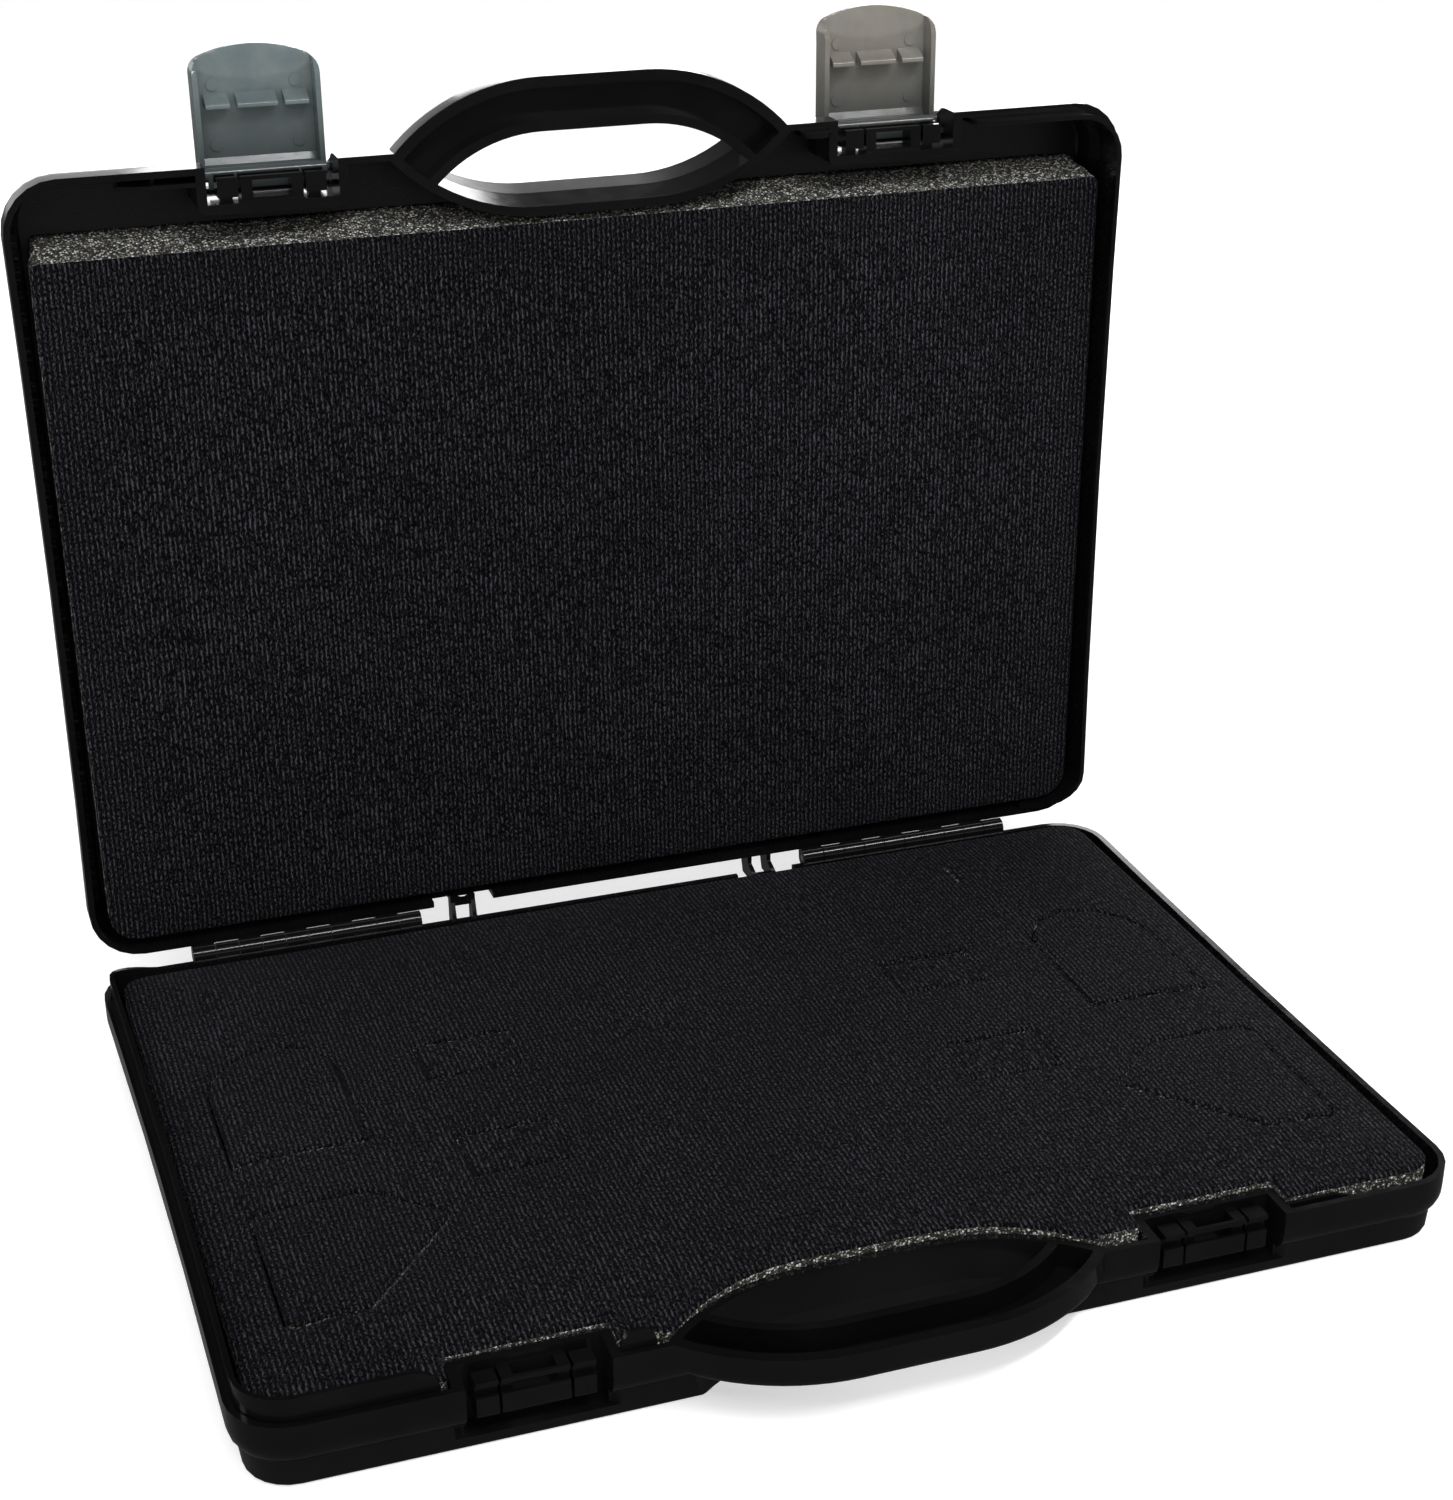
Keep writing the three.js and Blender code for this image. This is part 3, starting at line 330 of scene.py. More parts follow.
def opened(loop, facing):
    """A cut edge drawn back into its own cloth; the outer edges of the two big facings stay as they are."""
    if facing.startswith("plug_"):
        return offset(loop, by_kind(CUT_OPEN, facing))
    if area_of(loop) > 0:
        return loop
    middle = Vector((loop.max(0) + loop.min(0)) / 2)
    boxes = {plug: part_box(plug + "_facing") for plug in PLUGS}
    spots = {plug: ((lo + hi) / 2).to_2d() for plug, (lo, hi) in boxes.items()}
    nearest = min(PLUGS, key=lambda plug: (spots[plug] - middle).length)
    return offset(loop, by_kind(CUT_OPEN, nearest))


def drop_share(co, facing):
    """How much of the full drop the cut edges take at each point."""
    lo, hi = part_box(FAINT_PLUG + "_facing")
    near = box_gap(co, lo, hi) > -FAINT_REACH
    return np.where(near & (not facing.startswith("lid")), FAINT_SHARE, 1.0)


def cloth_piece(name, node, panel, material, seed, lift=0.0, slits=()):
    """The fabric facing over one CAD facing: a swollen top, rolled cut edges and a flat back."""
    loops, top = outlines(node, panel.up, panel.across, panel.along)
    loops = [opened(resample(loop, EDGE_STEP), node) for loop in loops] + list(slits)
    rings = [offset(loop, EDGE_ROLL * share) for loop in loops for share in RING_SHARES]
    ring_points = np.concatenate(rings)
    ring_points = ring_points[inside(ring_points, loops)]
    ring_points = ring_points[edge_distance(ring_points, loops) > RING_CLEAR]
    extra = np.concatenate([ring_points, inner_points(loops, GRID, INNER_CLEAR)])
    co, tris, origin = fill(loops, extra)
    gap = edge_distance(co, loops)
    roll = EDGE_DROP * np.clip(1 - gap / EDGE_ROLL, 0, 1) ** 2 * drop_share(co, node)
    swell = panel.rise(co) + lift
    fuzz = FUZZ * wobble(np.c_[co, np.zeros(len(co))], FUZZ_SCALE, seed)
    upper = panel.place(co, top + swell - roll + fuzz)

    back, back_tris, back_origin = fill(loops, inner_points(loops, GRID * 4, GRID))
    lower = panel.place(back, top + panel.rise(back) + lift - CLOTH_T)
    n = len(co)
    faces = [tuple(t) for t in tris] + [(n + a, n + c, n + b) for a, b, c in back_tris]
    start = 0
    for loop in loops:
        m = len(loop)
        for i in range(m):
            a, b = start + i, start + (i + 1) % m
            faces.append((origin[b], origin[a], n + back_origin[a], n + back_origin[b]))
        start += m
    obj = add_object(name, np.concatenate([upper, lower]), faces, material)
    lo, hi = span_of(loops)
    flat = hi - lo
    area = abs(sum(area_of(loop) for loop in loops))
    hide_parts(node)
    return obj, flat, area, loops, top


def foam_piece(name, nodes, panel, loops, top, depth, material, seed, lift=0.0, lean=0.0):
    """The foam under a facing: swollen top, side walls with torn cells, narrower below the wall's step."""
    levels = np.array(FOAM_LEVELS) * MM
    levels = np.concatenate([levels[levels < depth], np.linspace(STEP_DEPTH, depth, DEEP_RINGS)])
    co, tris, origin = fill(loops, inner_points(loops, GRID * 3, GRID))
    points = [panel.place(co, top + panel.rise(co) + lift - CLOTH_T - CLOTH_OVER)]
    faces = [tuple(t) for t in tris]
    lo, hi = span_of(loops)
    middle, half = (hi + lo) / 2, (hi - lo) / 2

    def side_ring(loop, level, under):
        """The side's points at this level under the top, standing this far back from the loop."""
        narrow = FOAM_TRIM * smooth((level - TRIM_FROM) / TRIM_OVER)
        front = np.zeros(len(loop))
        if lean:
            front = smooth((loop[:, 1] - (middle[1] + half[1] * (1 - LEAN_SHARE))) / (half[1] * LEAN_SHARE))
        flat = middle + (loop - middle) * (1 - narrow / half * np.c_[np.ones(len(loop)), 1 - front])
        flat[:, 1] += lean * level / depth * front
        probe = np.c_[flat, np.full(len(loop), level)]
        torn = sum(size * wobble(probe, scale, seed + shift) for size, scale, shift in TORN_CELLS)
        height = top + (panel.rise(loop) + lift) * (1 - level / depth) - CLOTH_T - level
        return panel.place(offset(flat, (under + torn)[:, None]), height)

    count = len(co)
    start = 0
    bottom_ring = []
    for loop in loops:
        m = len(loop)
        ring = [origin[start + i] for i in range(m)]
        start += m
        under = FOAM_UNDERCUT if name.startswith("plug_") or area_of(loop) < 0 else FOAM_CLEAR
        for level in levels:
            points.append(side_ring(loop, level, under))
            lower = [count + i for i in range(m)]
            count += m
            for i in range(m):
                j = (i + 1) % m
                faces.append((ring[j], ring[i], lower[i], lower[j]))
            ring = lower
        bottom_ring += ring
    _, bottom_tris, bottom_origin = fill(loops, [])
    corner = {bottom_origin[i]: index for i, index in enumerate(bottom_ring)}
    faces += [(corner[a], corner[c], corner[b]) for a, b, c in bottom_tris]
    obj = add_object(name, np.concatenate(points), faces, material)
    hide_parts(*nodes)
    return obj


# ---- colours ---------------------------------------------------------------------------------------
SHELL_DEEP = rgb(0.0026, 0.0024, 0.0027)
SHELL_PALE = rgb(0.0046, 0.0042, 0.0046)
SHELL_DUST = rgb(0.012, 0.0115, 0.012)
# painted reflection on the latches: cool at the left, warm at the right
LATCH_COOL_REFLECTED = rgb(0.092, 0.120, 0.124)
LATCH_WARM_REFLECTED = rgb(0.165, 0.150, 0.128)
LATCH_CLOUD = rgb(0.24, 0.25, 0.24)
LATCH_SHADE = rgb(0.035, 0.042, 0.043)   # painted shade at its foot, standing in for the shadow there and the dark recess seen through it
WIRE_DULL = rgb(0.42, 0.42, 0.43)
WIRE_BRIGHT = rgb(0.62, 0.62, 0.63)
# painted shade in the foam's cell hollows
FOAM_PIT_SHADE = rgb(0.006, 0.006, 0.006)
FOAM_WALL = rgb(0.040, 0.039, 0.037)
# painted glints on single cell walls of the foam
GLINT_WARM = rgb(0.95, 0.91, 0.72)
GLINT_COOL = rgb(0.93, 0.95, 0.97)
# the pile's painted shade in its hollows and painted highlights on its loop tops
PILE_SHADED_DEEP = rgb(0.0006, 0.0005, 0.0008)
PILE_LIT_TIP = rgb(0.063, 0.060, 0.071)
PILE_SHEEN = rgb(0.5, 0.5, 0.6)
PAPER_DULL = rgb(0.86, 0.86, 0.86)
PAPER_PALE = rgb(0.89, 0.89, 0.89)

# ---- sizes in the materials ------------------------------------------------------------------------
GRAIN_FADE = 0.6 * MM                # the shells' texture ends over this height
# the painted shade at a latch's foot fades out over this height
LATCH_SHADE_HEIGHT = 34 * MM
FOAM_CELL_SCALE = 1250
# the painted glints come in cells of these two scales
SHARD_SCALE = 1000
SPECK_SCALE = 2100
RIB_WANDER = ((70, 0.6, 1.0 * MM), (420, 0.5, 0.9 * MM))  # noise scale, roughness and sideways push


# ---- materials -------------------------------------------------------------------------------------
class Look:
    """A procedural material on a Principled shader, with shortcuts for its nodes."""

    def __init__(self, name, **sockets):
        self.material = bpy.data.materials.new(name)
        self.material.use_nodes = True
        self.nodes = self.material.node_tree.nodes
        self.links = self.material.node_tree.links
        self.nodes.clear()
        self.out = self.nodes.new("ShaderNodeOutputMaterial")
        self.shader = self.nodes.new("ShaderNodeBsdfPrincipled")
        self.links.new(self.shader.outputs[0], self.out.inputs[0])
        self.coords = self.nodes.new("ShaderNodeTexCoord").outputs["Object"]
        for socket, value in sockets.items():
            self.shader.inputs[socket.replace("_", " ")].default_value = value

    def node(self, kind, inputs=(), **settings):
        n = self.nodes.new(kind)
        for key, value in settings.items():
            setattr(n, key, value)
        for key, value in dict(inputs).items():
            socket = n.inputs[key]
            if isinstance(value, bpy.types.NodeSocket):
                self.links.new(value, socket)
            else:
                socket.default_value = value
        return n

    def scaled(self, factors):
        return self.node("ShaderNodeMapping", {"Vector": self.coords, "Scale": factors}).outputs[0]

    def noise(self, scale, detail=2.0, rough=0.5, vector=None):
        inputs = {"Vector": vector or self.coords, "Scale": scale, "Detail": detail, "Roughness": rough}
        return self.node("ShaderNodeTexNoise", inputs).outputs["Fac"]

    def voronoi(self, scale, output, feature="F1"):
        inputs = {"Vector": self.coords, "Scale": scale}
        return self.node("ShaderNodeTexVoronoi", inputs, feature=feature).outputs[output]

    def split(self, colour):
        """The three parts of a colour."""
        return self.node("ShaderNodeSeparateColor", {0: colour}).outputs

    def xyz(self):
        """The object's own X, Y and Z."""
        return self.node("ShaderNodeSeparateXYZ", {0: self.coords}).outputs

    def math(self, operation, a, b=0.0, c=0.0, clamp=False):
        """MULTIPLY_ADD gives a * b + c."""
        n = self.node("ShaderNodeMath", {0: a, 1: b, 2: c}, operation=operation)
        n.use_clamp = clamp
        return n.outputs[0]

    def span(self, value, low, high, to_low=0.0, to_high=1.0):
        inputs = {0: value, 1: low, 2: high, 3: to_low, 4: to_high}
        return self.node("ShaderNodeMapRange", inputs).outputs[0]

    def mix(self, share, a, b):
        n = self.node("ShaderNodeMix", data_type="RGBA")
        for index, value in ((0, share), (6, a), (7, b)):
            if isinstance(value, bpy.types.NodeSocket):
                self.links.new(value, n.inputs[index])
            else:
                n.inputs[index].default_value = value
        return n.outputs[2]

    def bump(self, height, strength, distance, after=None):
        inputs = {"Height": height, "Strength": strength, "Distance": distance}
        if after is not None:
            inputs["Normal"] = after
        return self.node("ShaderNodeBump", inputs).outputs[0]

    def set(self, socket, value):
        self.links.new(value, self.shader.inputs[socket])


def shell_look(name, axis, smooth_from, sign):
    """Black satin plastic; beyond smooth_from along the axis the outer face has a fine spark texture."""
    look = Look(name, Specular_IOR_Level=0.42)
    grained = look.span(look.xyz()[axis], smooth_from, smooth_from - sign * GRAIN_FADE)
    flow = look.noise(scale=26, detail=4, rough=0.6)
    tone = look.mix(look.span(flow, 0.35, 0.7), SHELL_DEEP, SHELL_PALE)
    scuff = look.noise(scale=60, detail=3, rough=0.7, vector=look.scaled((1, 6, 14)))
    dust = look.span(scuff, 0.62, 0.85, to_high=0.35)
    look.set("Base Color", look.mix(dust, tone, SHELL_DUST))
    handled = look.noise(scale=140, detail=3, rough=0.65)
    satin = look.span(handled, 0.3, 0.75, to_low=0.11, to_high=0.19)
    textured = look.math("MULTIPLY_ADD", grained, 0.2, satin)
    look.set("Roughness", look.math("ADD", textured, look.math("MULTIPLY", dust, 0.25)))
    peel = look.bump(look.noise(scale=220), strength=0.25, distance=0.06 * MM)
    grain = look.noise(scale=2600, rough=0.6)
    pits = look.voronoi(scale=1500, output="Distance")
    sparks = look.math("MULTIPLY", look.math("ADD", grain, pits), grained)
    look.set("Normal", look.bump(sparks, strength=0.35, distance=0.12 * MM, after=peel))
    return look.material


def latch_look(foot):
    """Cloudy grey plastic, a little translucent, tinted cool at the left and warm at the right as a painted
    reflection, with painted shade darkening its foot.
    """
    look = Look(
        "cloudy_grey", Specular_IOR_Level=0.5, Subsurface_Weight=0.08,
        Subsurface_Radius=(0.004, 0.004, 0.004), Subsurface_Scale=0.6,
    )
    xyz = look.xyz()
    streak = look.noise(scale=40, detail=3, rough=0.6, vector=look.scaled((6, 1, 1)))
    streaks = look.span(streak, 0.3, 0.8, to_low=-0.25, to_high=0.25)
    # painted reflection: the tint runs from cool at the left to warm at the right, broken up by streaks
    side = look.math("ADD", look.span(xyz[0], -0.1, 0.1), streaks, clamp=True)
    cloud = look.span(look.noise(scale=55, detail=4, rough=0.6), 0.35, 0.75, to_high=0.35)
    body = look.mix(cloud, look.mix(side, LATCH_COOL_REFLECTED, LATCH_WARM_REFLECTED), LATCH_CLOUD)
    # painted shade: darker towards the latch's foot
    height = look.span(xyz[2], foot, foot + LATCH_SHADE_HEIGHT)
    look.set("Base Color", look.mix(height, LATCH_SHADE, body))
    look.set("Roughness", look.span(look.noise(scale=180, detail=3), 0.3, 0.7, to_low=0.12, to_high=0.24))
    ripple = look.noise(scale=320, detail=3, rough=0.6)
    look.set("Normal", look.bump(ripple, strength=0.2, distance=0.1 * MM))
    return look.material


def steel_look():
    """Drawn wire, with fine lines along it."""
    look = Look("bright_wire", Metallic=1.0)
    drawn = look.noise(scale=900, detail=3, rough=0.6, vector=look.scaled((0.04, 1, 1)))
    look.set("Base Color", look.mix(drawn, WIRE_DULL, WIRE_BRIGHT))
    look.set("Roughness", look.span(drawn, 0.2, 0.8, to_low=0.22, to_high=0.42))
    look.set("Normal", look.bump(drawn, strength=0.2, distance=0.05 * MM))
    return look.material


def foam_look():
    """Dark open-cell foam: pitted, with painted shade in the cell hollows and painted glints on single cell
    walls.
    """
    look = Look("open_cell_foam", Specular_IOR_Level=0.3)
    cells = look.voronoi(FOAM_CELL_SCALE, "Distance")
    walls = look.voronoi(FOAM_CELL_SCALE, "Distance", feature="DISTANCE_TO_EDGE")
    shards = look.voronoi(SHARD_SCALE, "Distance")
    chance = look.split(look.voronoi(SHARD_SCALE, "Color"))
    tiny = look.split(look.voronoi(SPECK_SCALE, "Color"))
    # painted glints: single cells and tiny specks turned bright in the base colour
    sparkle = look.math("MULTIPLY", look.span(chance[0], 0.66, 0.82), look.span(shards, 0.55, 0.3))
    speck_glints = look.math("MULTIPLY", look.span(tiny[0], 0.82, 0.95), 0.55)
    # painted shade: each cell darkens towards its middle
    shaded_cells = look.mix(look.span(cells, 0.1, 0.6), FOAM_PIT_SHADE, FOAM_WALL)
    tint = look.mix(chance[1], GLINT_WARM, GLINT_COOL)
    look.set("Base Color", look.mix(look.math("MAXIMUM", sparkle, speck_glints), shaded_cells, tint))
    look.set("Roughness", look.span(chance[2], 0, 1, to_low=0.9, to_high=0.5))
    coarse = look.bump(look.noise(scale=500, detail=3), strength=0.7, distance=0.6 * MM)
    look.set("Normal", look.bump(look.span(walls, 0, 0.25), strength=0.9, distance=0.4 * MM, after=coarse))
    return look.material


def fabric_look():
    """Black needled pile: rows of short loops in ribs that run front to back, with lifted fibres; painted
    highlights on the tops of the ribs and loops, painted shade between them.
    """
    look = Look(
        "ribbed_pile", Specular_IOR_Level=0.04, Sheen_Weight=0.03, Sheen_Roughness=0.5,
        Sheen_Tint=PILE_SHEEN,
    )
    across = look.xyz()[0]
    for scale, rough, push in RIB_WANDER:
        shift = look.math("SUBTRACT", look.noise(scale=scale, rough=rough), 0.5)
        across = look.math("MULTIPLY_ADD", shift, push, across)
    wave = look.math("SINE", look.math("MULTIPLY", across, 2 * math.pi / RIB_PITCH))
    rib = look.math("MULTIPLY_ADD", wave, 0.5, 0.5)
    dashes = look.noise(scale=1500, detail=1, vector=look.scaled((1.0, 0.5, 0.5)))
    curls = look.noise(scale=2300, rough=0.6, vector=look.scaled((1.0, 0.6, 0.6)))
    fibre = look.noise(scale=3200, rough=0.7)
    # painted highlights on the tops of the ribs and loops and painted shade between them; the curls, fibres
    # and matting add random variation
    loop = look.math("MULTIPLY", look.span(dashes, 0.38, 0.64), look.math("MULTIPLY_ADD", rib, 0.88, 0.12))
    pile = look.math("MULTIPLY_ADD", look.span(curls, 0.4, 0.7), 0.30, look.math("MULTIPLY", loop, 0.95))
    pile = look.math("MULTIPLY", pile, look.span(fibre, 0.2, 0.75, to_low=0.6, to_high=1.3))
    matted = look.span(look.noise(scale=16, detail=3, rough=0.6), 0.3, 0.7, to_low=0.8, to_high=1.15)
    lit = look.math("MULTIPLY", look.math("POWER", pile, 2.1), matted, clamp=True)
    look.set("Base Color", look.mix(lit, PILE_SHADED_DEEP, PILE_LIT_TIP))
    look.set("Roughness", look.span(fibre, 0.3, 0.7, to_low=0.85, to_high=1.0))
    coarse = look.bump(rib, strength=0.6, distance=0.5 * MM)
    fine = look.bump(loop, strength=0.9, distance=0.6 * MM, after=coarse)
    look.set("Normal", look.bump(curls, strength=0.8, distance=0.4 * MM, after=fine))
    return look.material


def floor_look():
    """Pale paper, lit a little from inside so that it ends up as white as a backdrop."""
    look = Look("pale_paper", Specular_IOR_Level=0.2, Emission_Strength=0.36, Emission_Color=rgb(1, 1, 1))
    mottled = look.noise(scale=6, detail=3)
    look.set("Base Color", look.mix(mottled, PAPER_DULL, PAPER_PALE))
    look.set("Roughness", look.span(mottled, 0.2, 0.8, to_low=0.7, to_high=0.85))
    return look.material


# ---- camera ----------------------------------------------------------------------------------------
CAMERA_TURN = (-19.55, 27.28, -0.08)          # azimuth, elevation and roll, in degrees
CAMERA_PLACE = (-0.28513, -0.81151, 0.54224)
CAMERA_LENS = 64.69
CAMERA_SENSOR = 36
CAMERA_SHIFT = (-0.01355, 0.09667)
CAMERA_REACH = 50


def make_camera():
    azimuth, elevation, roll = (math.radians(a) for a in CAMERA_TURN)
    reach = math.cos(elevation)
    ahead = Vector((-math.sin(azimuth) * reach, math.cos(azimuth) * reach, -math.sin(elevation)))
    level = Vector((math.cos(azimuth), math.sin(azimuth), 0))
    right = level * math.cos(roll) + level.cross(ahead) * math.sin(roll)
    above = right.cross(ahead)
    data = bpy.data.cameras.new("camera")
    data.lens = CAMERA_LENS
    data.sensor_width = CAMERA_SENSOR
    data.shift_x, data.shift_y = CAMERA_SHIFT
    data.clip_end = CAMERA_REACH
    camera = bpy.data.objects.new("camera", data)
    bpy.context.scene.collection.objects.link(camera)
    turn = Matrix((right, above, -ahead)).transposed().to_4x4()
    camera.matrix_world = Matrix.Translation(CAMERA_PLACE) @ turn
    bpy.context.scene.camera = camera


make_camera()

# ---- hard parts ------------------------------------------------------------------------------------
BAND = 11.7 * MM                    # a shell is textured this far in from its outer face
SHELL_EDGE = 0.35 * MM              # radii of the moulded edges
LATCH_EDGE = 0.3 * MM
WIRE_EDGE = 0.2 * MM
SAME_CORNER = 2e-6
FLAT_WITHIN = 0.4                   # facets that meet within this many degrees are one flat face,
SMOOTH_WITHIN = 28                  # ones within this many are shaded as one,
ROUND_BEYOND = 32                   # and ones beyond this many get a radius
FACE_WEIGHT = 100                   # large faces keep their own direction


def shade_by_angle(limit):
    """A node group that shades every face smooth and keeps the edges beyond the limit sharp."""
    group = bpy.data.node_groups.new("shade_by_angle", "GeometryNodeTree")
    group.interface.new_socket("Geometry", in_out="INPUT", socket_type="NodeSocketGeometry")
    group.interface.new_socket("Geometry", in_out="OUTPUT", socket_type="NodeSocketGeometry")
    start = group.nodes.new("NodeGroupInput")
    end = group.nodes.new("NodeGroupOutput")
    angle = group.nodes.new("GeometryNodeInputMeshEdgeAngle")
    flat = group.nodes.new("FunctionNodeCompare")
    flat.data_type = "FLOAT"
    flat.operation = "LESS_THAN"
    flat.inputs[1].default_value = math.radians(limit)
    edges = group.nodes.new("GeometryNodeSetShadeSmooth")
    edges.domain = "EDGE"
    faces = group.nodes.new("GeometryNodeSetShadeSmooth")
    faces.domain = "FACE"
    group.links.new(start.outputs[0], faces.inputs[0])
    group.links.new(faces.outputs[0], edges.inputs[0])
    group.links.new(angle.outputs[0], flat.inputs[0])
    group.links.new(flat.outputs[0], edges.inputs["Shade Smooth"])
    group.links.new(edges.outputs[0], end.inputs[0])
    return group


def soften_edges(obj, width, shading):
    """Clears the facets' diagonals, rounds the moulded edges and shades by angle."""
    weld = obj.modifiers.new("weld", "WELD")
    weld.merge_threshold = SAME_CORNER
    flatten = obj.modifiers.new("flatten", "DECIMATE")
    flatten.decimate_type = "DISSOLVE"
    flatten.angle_limit = math.radians(FLAT_WITHIN)
    bevel = obj.modifiers.new("edge_radius", "BEVEL")
    bevel.width = width
    bevel.segments = 2
    bevel.limit_method = "ANGLE"
    bevel.angle_limit = math.radians(ROUND_BEYOND)
    bevel.use_clamp_overlap = True
    bevel.miter_outer = "MITER_ARC"
    shade = obj.modifiers.new("shade", "NODES")
    shade.node_group = shading
    level = obj.modifiers.new("level_faces", "WEIGHTED_NORMAL")
    level.keep_sharp = True
    level.weight = FACE_WEIGHT


black_base = shell_look("satin_black_base", 2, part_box("base_shell")[0].z + BAND, 1)
black_lid = shell_look("satin_black_lid", 1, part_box("lid_shell")[1].y - BAND, -1)
grey = latch_look(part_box("latch_left")[0].z)
wire = steel_look()
HARD = {
    "base_shell": (black_base, SHELL_EDGE),
    "lid_shell": (black_lid, SHELL_EDGE),
    "latch_left": (grey, LATCH_EDGE),
    "latch_right": (grey, LATCH_EDGE),
    "hinge_pin_left": (wire, WIRE_EDGE),
    "hinge_pin_right": (wire, WIRE_EDGE),
}
angle_shading = shade_by_angle(SMOOTH_WITHIN)
for node_name, (material, radius) in HARD.items():
    part = NODES[node_name]
    part.data.materials.clear()
    part.data.materials.append(material)
    soften_edges(part, radius, angle_shading)

# ---- lining ----------------------------------------------------------------------------------------
foam = foam_look()
fabric = fabric_look()


def base_rise(co):
    """The base's lining is crowned, and higher towards its right edge."""
    lo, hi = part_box("base_facing")
    gap = box_gap(co, lo, hi)
    up = smooth(0.5 + 0.5 * gap / BASE_CROWN_REACH) * 2 - 1
    size, scale, seed = BASE_WAVES
    waves = size * wobble(np.c_[co, np.zeros(len(co))], scale, seed) * smooth(gap / BASE_CROWN_REACH)
    low, high = EDGE_RISE_SPAN
    to_right = smooth((co[:, 0] / hi.x - low) / (high - low))
    edge = BASE_LEFT_RISE + (BASE_RIGHT_RISE - BASE_LEFT_RISE) * to_right
    return edge + (BASE_MID_RISE - edge) * np.clip(up, 0, 1) + waves


def lid_rise(co):
    """The lid's lining dips a little between its edges."""
    lo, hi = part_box("lid_facing")
    gap = box_gap(co, (lo.x, lo.z), (hi.x, hi.z))
    size, scale, seed = LID_WAVES
    waves = size * wobble(np.c_[co, np.ones(len(co))], scale, seed)
    return (LID_SINK + waves) * smooth(gap / LID_REACH)


def slit(x, y0, y1, width):
    """A cut through the facing, as a narrow loop with pointed ends."""
    mids = np.linspace(y0, y1, SLIT_STEPS)[1:-1]
    left = [(x - width / 2, y) for y in mids]
    right = [(x + width / 2, y) for y in mids[::-1]]
    return np.array([(x, y0), *left, (x, y1), *right])


base_panel = Panel((0, 0, 1), (1, 0, 0), (0, 1, 0), base_rise)
lid_panel = Panel((0, -1, 0), (1, 0, 0), (0, 0, 1), lid_rise)


def lining(prefix, facing, foam_node, panel, body, seed, depth, lift=0.0, lean=0.0, slits=()):
    """A facing and the foam under it, attached to the body; the pieces on the base get a mesh of their own.
    """
    cloth, flat, area, loops, top = cloth_piece(prefix + "_cloth", facing, panel, fabric, seed, lift, slits)
    pad = foam_piece(
        prefix + "_pad", [foam_node], panel, loops[: len(loops) - len(slits)], top, depth, foam,
        seed + FOAM_SEED_SHIFT, lift, lean,
    )
    for piece in (cloth, pad):
        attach(piece, body)
        if body == "base":
            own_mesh(piece)


lining(
    "base", "base_facing", "base_foam", base_panel, "base", 1, FOAM_DEPTH,
    slits=[slit(SLIT_X, SLIT_Y[0], SLIT_Y[1], SLIT_W)],
)
lining("lid", "lid_facing", "lid_foam", lid_panel, "lid", 2, FOAM_DEPTH, lean=LID_LEAN)
for number, plug in enumerate(PLUGS):
    lift = by_kind(PLUG_LIFT, plug)
    seed = FIRST_PLUG_SEED + number
    lining(plug, plug + "_facing", plug + "_foam", base_panel, "base", seed, PLUG_DEPTH, lift=lift)

# ---- floor and lights ------------------------------------------------------------------------------
FLOOR_HALF = 30
FLOOR_DROP = 0.2 * MM
corners = [(x * FLOOR_HALF, y * FLOOR_HALF, 0) for x, y in ((-1, -1), (1, -1), (1, 1), (-1, 1))]
ground = add_object("floor", corners, [(0, 1, 2, 3)], floor_look(), shade=False)
ground.location.z = CAD_BOX[0].z - FLOOR_DROP
ground.visible_glossy = False


def add_light(name, data, place, target, glossy):
    light = bpy.data.objects.new(name, data)
    light.location = place
    light.rotation_euler = (Vector(target) - Vector(place)).to_track_quat("-Z", "Y").to_euler()
    light.visible_glossy = glossy
    light.visible_camera = False
    bpy.context.scene.collection.objects.link(light)


def broad_sky(name, place, strength, spread):
    """An even wash from one side, with very soft shadows and no mirror image."""
    data = bpy.data.lights.new(name, "SUN")
    data.energy = strength
    data.angle = math.radians(spread)
    add_light(name, data, place, (0, 0, 0), False)


def soft_box(name, place, target, size, power):
    """A lit rectangle that shows as a highlight in the plastic."""
    data = bpy.data.lights.new(name, "AREA")
    data.shape = "RECTANGLE"
    data.size, data.size_y = size
    data.energy = power
    add_light(name, data, place, target, True)


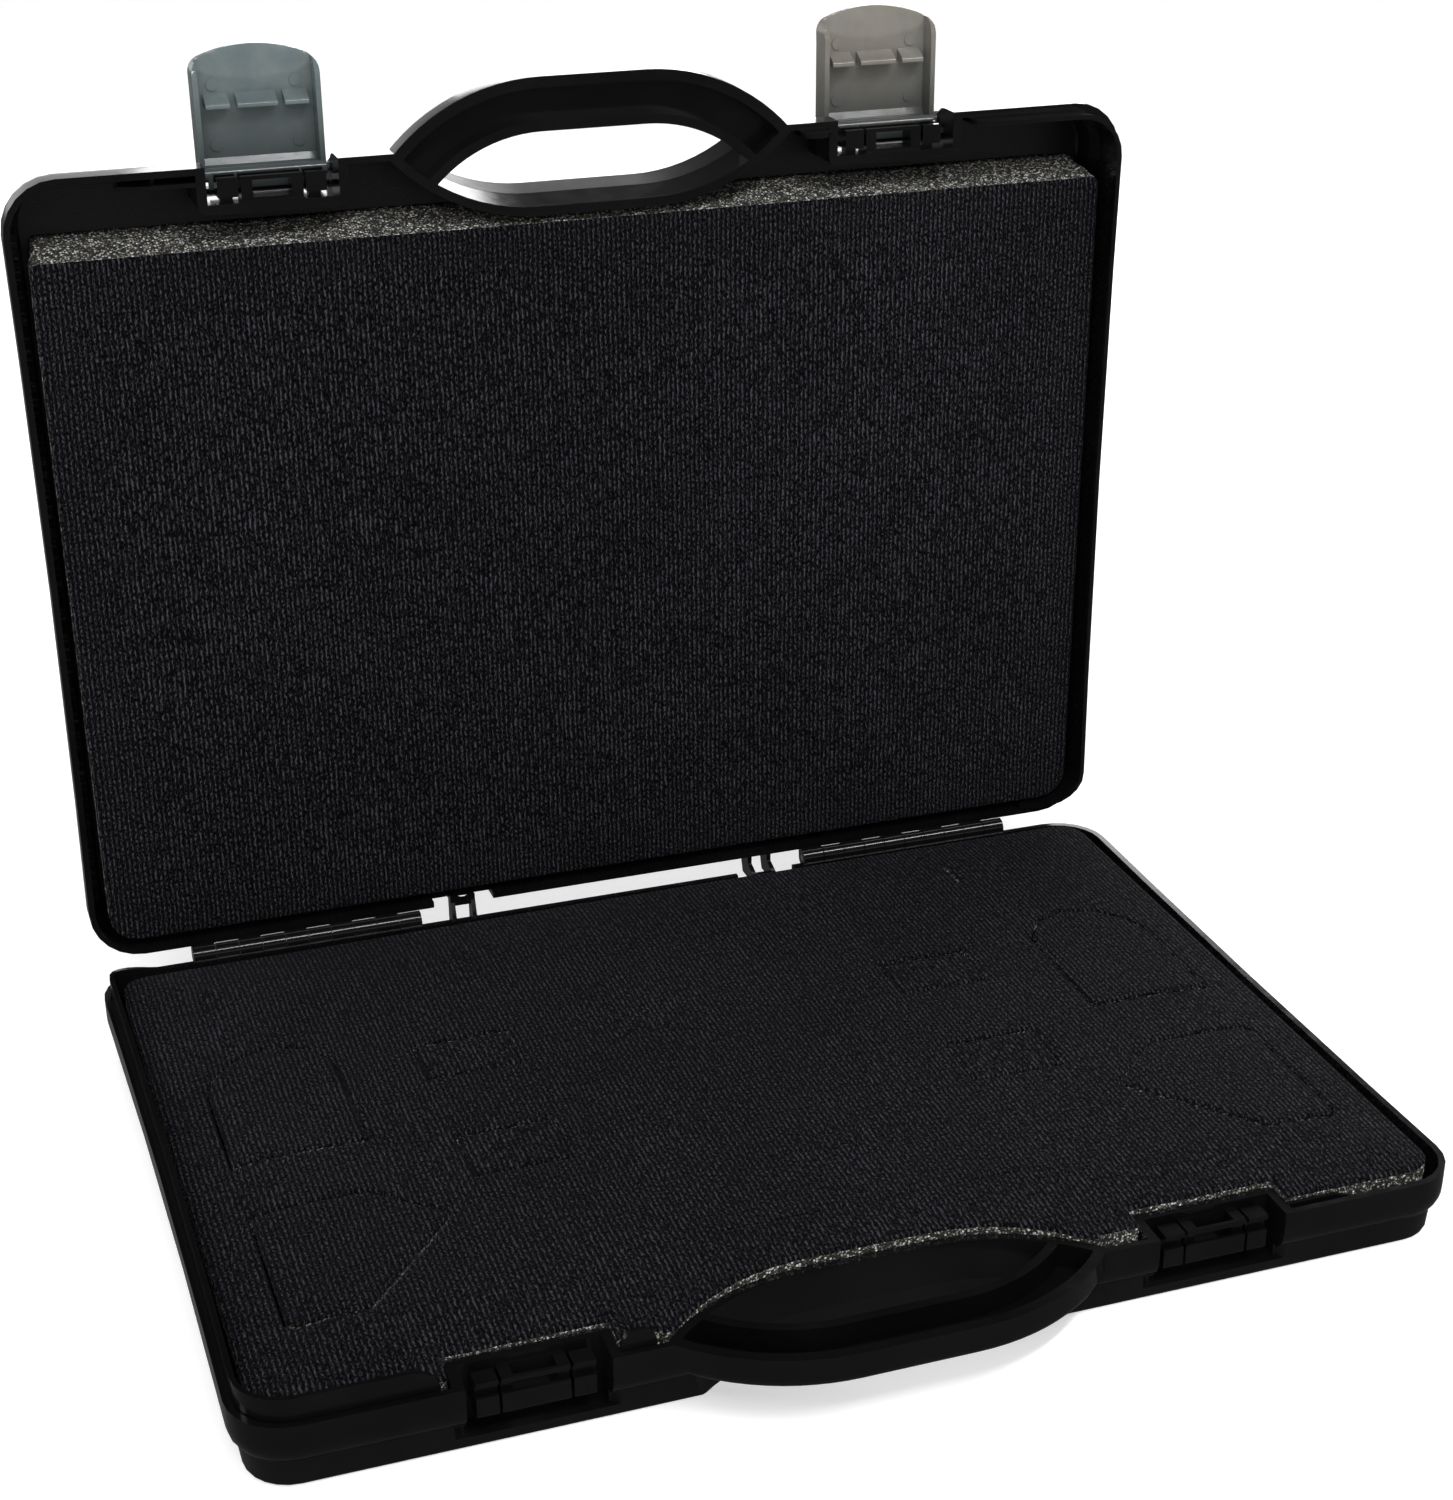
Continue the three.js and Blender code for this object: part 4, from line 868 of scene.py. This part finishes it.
broad_sky("overhead", place=(-0.5, 0.25, 1.6), strength=0.7, spread=45)
broad_sky("front", place=(-0.6, -1.75, 1.5), strength=1.95, spread=45)
soft_box("back_strip", place=(0.75, 1.5, 0.55), target=(0, 0.16, 0.3), size=(1.6, 0.5), power=9)
soft_box("left_strip", place=(-1.6, 0.5, 0.8), target=(0, 0.05, 0.1), size=(0.4, 1.4), power=7)
soft_box("top_strip", place=(0.5, -0.8, 1.6), target=(0, 0, 0.1), size=(1.3, 0.12), power=16)

# ---- world -----------------------------------------------------------------------------------------
SKY_ALL_ROUND = 0.085               # even light under the band's own
SKY_BELOW = 0.12                    # under the horizon all of it is dimmed to this share


def make_world():
    """A bright band round the horizon, brighter behind the case, dim overhead and dark below."""
    world = bpy.data.worlds.new("studio")
    bpy.context.scene.world = world
    world.use_nodes = True
    nodes, links = world.node_tree.nodes, world.node_tree.links
    nodes.clear()

    def link_inputs(node, *values):
        for i, value in enumerate(values):
            if isinstance(value, bpy.types.NodeSocket):
                links.new(value, node.inputs[i])
            else:
                node.inputs[i].default_value = value
        return node.outputs[0]

    def ramp(value, low, high, to_low, to_high):
        node = nodes.new("ShaderNodeMapRange")
        node.interpolation_type = "SMOOTHSTEP"
        return link_inputs(node, value, low, high, to_low, to_high)

    def combine(operation, *values):
        node = nodes.new("ShaderNodeMath")
        node.operation = operation
        return link_inputs(node, *values)

    split = nodes.new("ShaderNodeSeparateXYZ")
    links.new(nodes.new("ShaderNodeTexCoord").outputs["Generated"], split.inputs[0])
    band = ramp(split.outputs[2], 0.12, 0.40, to_low=1.0, to_high=0.0)
    rear = ramp(split.outputs[1], 0.0, 0.8, to_low=0.7, to_high=1.1)
    above = ramp(split.outputs[2], -0.12, 0.0, to_low=SKY_BELOW, to_high=1.0)
    lit = combine("MULTIPLY_ADD", band, rear, SKY_ALL_ROUND)
    back = nodes.new("ShaderNodeBackground")
    links.new(combine("MULTIPLY", lit, above), back.inputs["Strength"])
    out = nodes.new("ShaderNodeOutputWorld")
    links.new(back.outputs[0], out.inputs[0])


make_world()
bpy.context.scene.view_settings.view_transform = "Standard"
